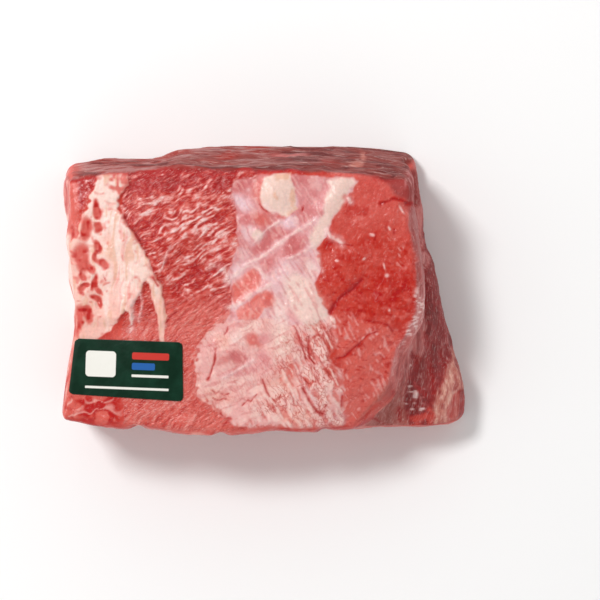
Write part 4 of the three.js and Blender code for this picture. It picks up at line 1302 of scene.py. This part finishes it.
def printed_box(tree, place, middle, half, corner):
    """1 inside a box with round corners on the label, and 0 outside it."""
    reach = (half[0] - corner, half[1] - corner, 10)
    zero = (0, 0, 0)
    steps = [("SUBTRACT", (*middle, 0)), ("ABSOLUTE", zero), ("SUBTRACT", reach), ("MAXIMUM", zero)]
    for operation, other in steps:
        place = add_node(tree, "VectorMath", {0: place, 1: other}, operation=operation).outputs[0]
    away = add_node(tree, "VectorMath", {0: place}, operation="LENGTH").outputs["Value"]
    return ranged(tree, away, corner - LABEL_PRINT_BLUR, corner + LABEL_PRINT_BLUR, 1, 0)


def label_material():
    """A glossy dark green sticker with plain boxes and bars printed on it."""
    material, tree, shader = new_material("label_print")
    place = stored(tree, "print_place", "Vector")
    rub = cloud(tree, place, 0.12, 4)
    tone = laid_over(tree, LABEL_GREEN, LABEL_GREEN_WORN, ranged(tree, rub, 0.42, 0.7, 0, 1))
    for color, middle, half, corner in LABEL_PRINT:
        tone = laid_over(tree, tone, color, printed_box(tree, place, middle, half, corner))
    roughness = ranged(tree, rub, 0, 1, 0.26, 0.4)
    normal = bumps(tree, [(cloud(tree, place, 0.35, 2), 0.4, 0.0004)])
    feed(tree, shader, {
        "Base Color": tone, "Roughness": roughness, "Normal": normal, "Specular IOR Level": 0.25,
    })
    return material


def label_sheet():
    """The label's flat points from its middle, along and across it, and the order in which they lie."""
    across, deep = LABEL_CELLS
    i, j = (k.ravel() for k in np.meshgrid(np.arange(across + 1), np.arange(deep + 1), indexing="ij"))
    a, b = LABEL_LENGTH * (i / across - 0.5), LABEL_WIDTH * (j / deep - 0.5)
    inner_a = np.clip(a, LABEL_CORNER - LABEL_LENGTH / 2, LABEL_LENGTH / 2 - LABEL_CORNER)
    inner_b = np.clip(b, LABEL_CORNER - LABEL_WIDTH / 2, LABEL_WIDTH / 2 - LABEL_CORNER)
    pull = np.minimum(1, LABEL_CORNER / np.maximum(np.hypot(a - inner_a, b - inner_b), 1e-6))
    a, b = inner_a + (a - inner_a) * pull, inner_b + (b - inner_b) * pull
    a -= lerp(*LABEL_LEAN, i / across) * (0.5 - j / deep)
    b += LABEL_RISE * (1 - i / across) * (1 - j / deep)
    return a, b, np.arange(len(i)).reshape(across + 1, deep + 1)


def label_corners(spots, face, rim):
    """Each face corner's place on the texture sheet: the top and the underside, then the thin edge."""
    under = spots + [0, 0.49]
    ring = np.linspace(0.02, 0.98, len(rim) + 1)
    along_edge = np.column_stack([ring[:-1], ring[1:], ring[1:], ring[:-1]])
    across_edge = np.tile([0.985, 0.985, 0.995, 0.995], (len(rim), 1))
    edge = np.stack([along_edge, across_edge], axis=-1)
    return np.vstack([part.reshape(-1, 2) for part in (spots[face], under[face[:, ::-1]], edge)])


def make_label():
    a, b, index = label_sheet()
    c, s = math.cos(LABEL_TURN), math.sin(LABEL_TURN)
    flat = top_points(LABEL_CENTRE[0] + a * c - b * s, LABEL_CENTRE[1] + a * s + b * c)
    face = np.stack([index[:-1, :-1], index[1:, :-1], index[1:, 1:], index[:-1, 1:]], axis=-1).reshape(-1, 4)
    normal = smooth_normals(flat, face.tolist())
    points = np.vstack([flat + normal * LABEL_GAP, flat + normal * (LABEL_GAP + LABEL_THICK)])
    over = len(flat)
    rim = np.concatenate([index[:-1, 0], index[-1, :-1], index[:0:-1, -1], index[0, :0:-1]])
    after = np.roll(rim, -1)
    faces = (face + over).tolist() + face[:, ::-1].tolist()
    faces += np.column_stack([rim, after, after + over, rim + over]).tolist()
    spots = np.column_stack([a, b]) / (2.2 * LABEL_WIDTH) + [0.47, 0.26]
    piece = make_object("plain_label", points, faces, label_corners(spots, face, rim), label_material())
    store(piece.data, "print_place", np.tile(np.column_stack([a, b, np.zeros(over)]), (2, 1)))
    return piece


# ---- Stage ---------------------------------------------------------------------------------------
def make_stage():
    bpy.ops.mesh.primitive_plane_add(size=FLOOR_SIDE * MM, location=(0, 0, 0))
    floor = bpy.context.object
    floor.name = "floor"
    material, tree, shader = new_material("pale_floor")
    feed(tree, shader, {"Base Color": FLOOR_TONE, "Roughness": 0.8})
    floor.data.materials.append(material)
    light_room()
    light_window()
    bpy.context.scene.view_settings.view_transform = "Standard"


def light_room():
    """White round about and dimmer overhead, so that wet flat surfaces keep their own colour."""
    world = bpy.data.worlds.new("studio")
    bpy.context.scene.world = world
    world.use_nodes = True
    tree = world.node_tree
    direction = add_node(tree, "TexCoord", {}).outputs["Generated"]
    upward = add_node(tree, "SeparateXYZ", {0: direction}).outputs["Z"]
    glow = ranged(tree, upward, 0.5, 0.95, 1, OVERHEAD_GLOW)
    feed(tree, tree.nodes["Background"], {"Color": (1, 1, 1, 1), "Strength": glow})


def light_window():
    lamp = bpy.data.lights.new("window", "AREA")
    lamp.energy = LAMP_WATTS
    lamp.size = LAMP_SIDE * MM
    light = bpy.data.objects.new("window", lamp)
    light.location = [value * MM for value in LAMP_AT]
    light.rotation_euler = (-light.location).to_track_quat("-Z", "Y").to_euler()
    bpy.context.scene.collection.objects.link(light)


def make_camera():
    data = bpy.data.cameras.new("camera")
    data.lens = CAMERA_LENS
    data.sensor_width = SENSOR
    camera = bpy.data.objects.new("camera", data)
    camera.location = [value * MM for value in CAMERA_AT]
    bpy.context.scene.collection.objects.link(camera)
    bpy.context.scene.camera = camera


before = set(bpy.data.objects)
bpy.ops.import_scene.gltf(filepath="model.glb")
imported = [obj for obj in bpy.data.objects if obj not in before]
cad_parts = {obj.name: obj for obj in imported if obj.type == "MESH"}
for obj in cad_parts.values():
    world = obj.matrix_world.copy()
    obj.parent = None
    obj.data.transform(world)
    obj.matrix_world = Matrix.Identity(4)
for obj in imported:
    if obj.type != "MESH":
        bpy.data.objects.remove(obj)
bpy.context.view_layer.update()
make_camera()
make_stage()

roast = make_roast()
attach(roast, "root")
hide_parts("roast")

label = make_label()
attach(label, "root")
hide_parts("label")
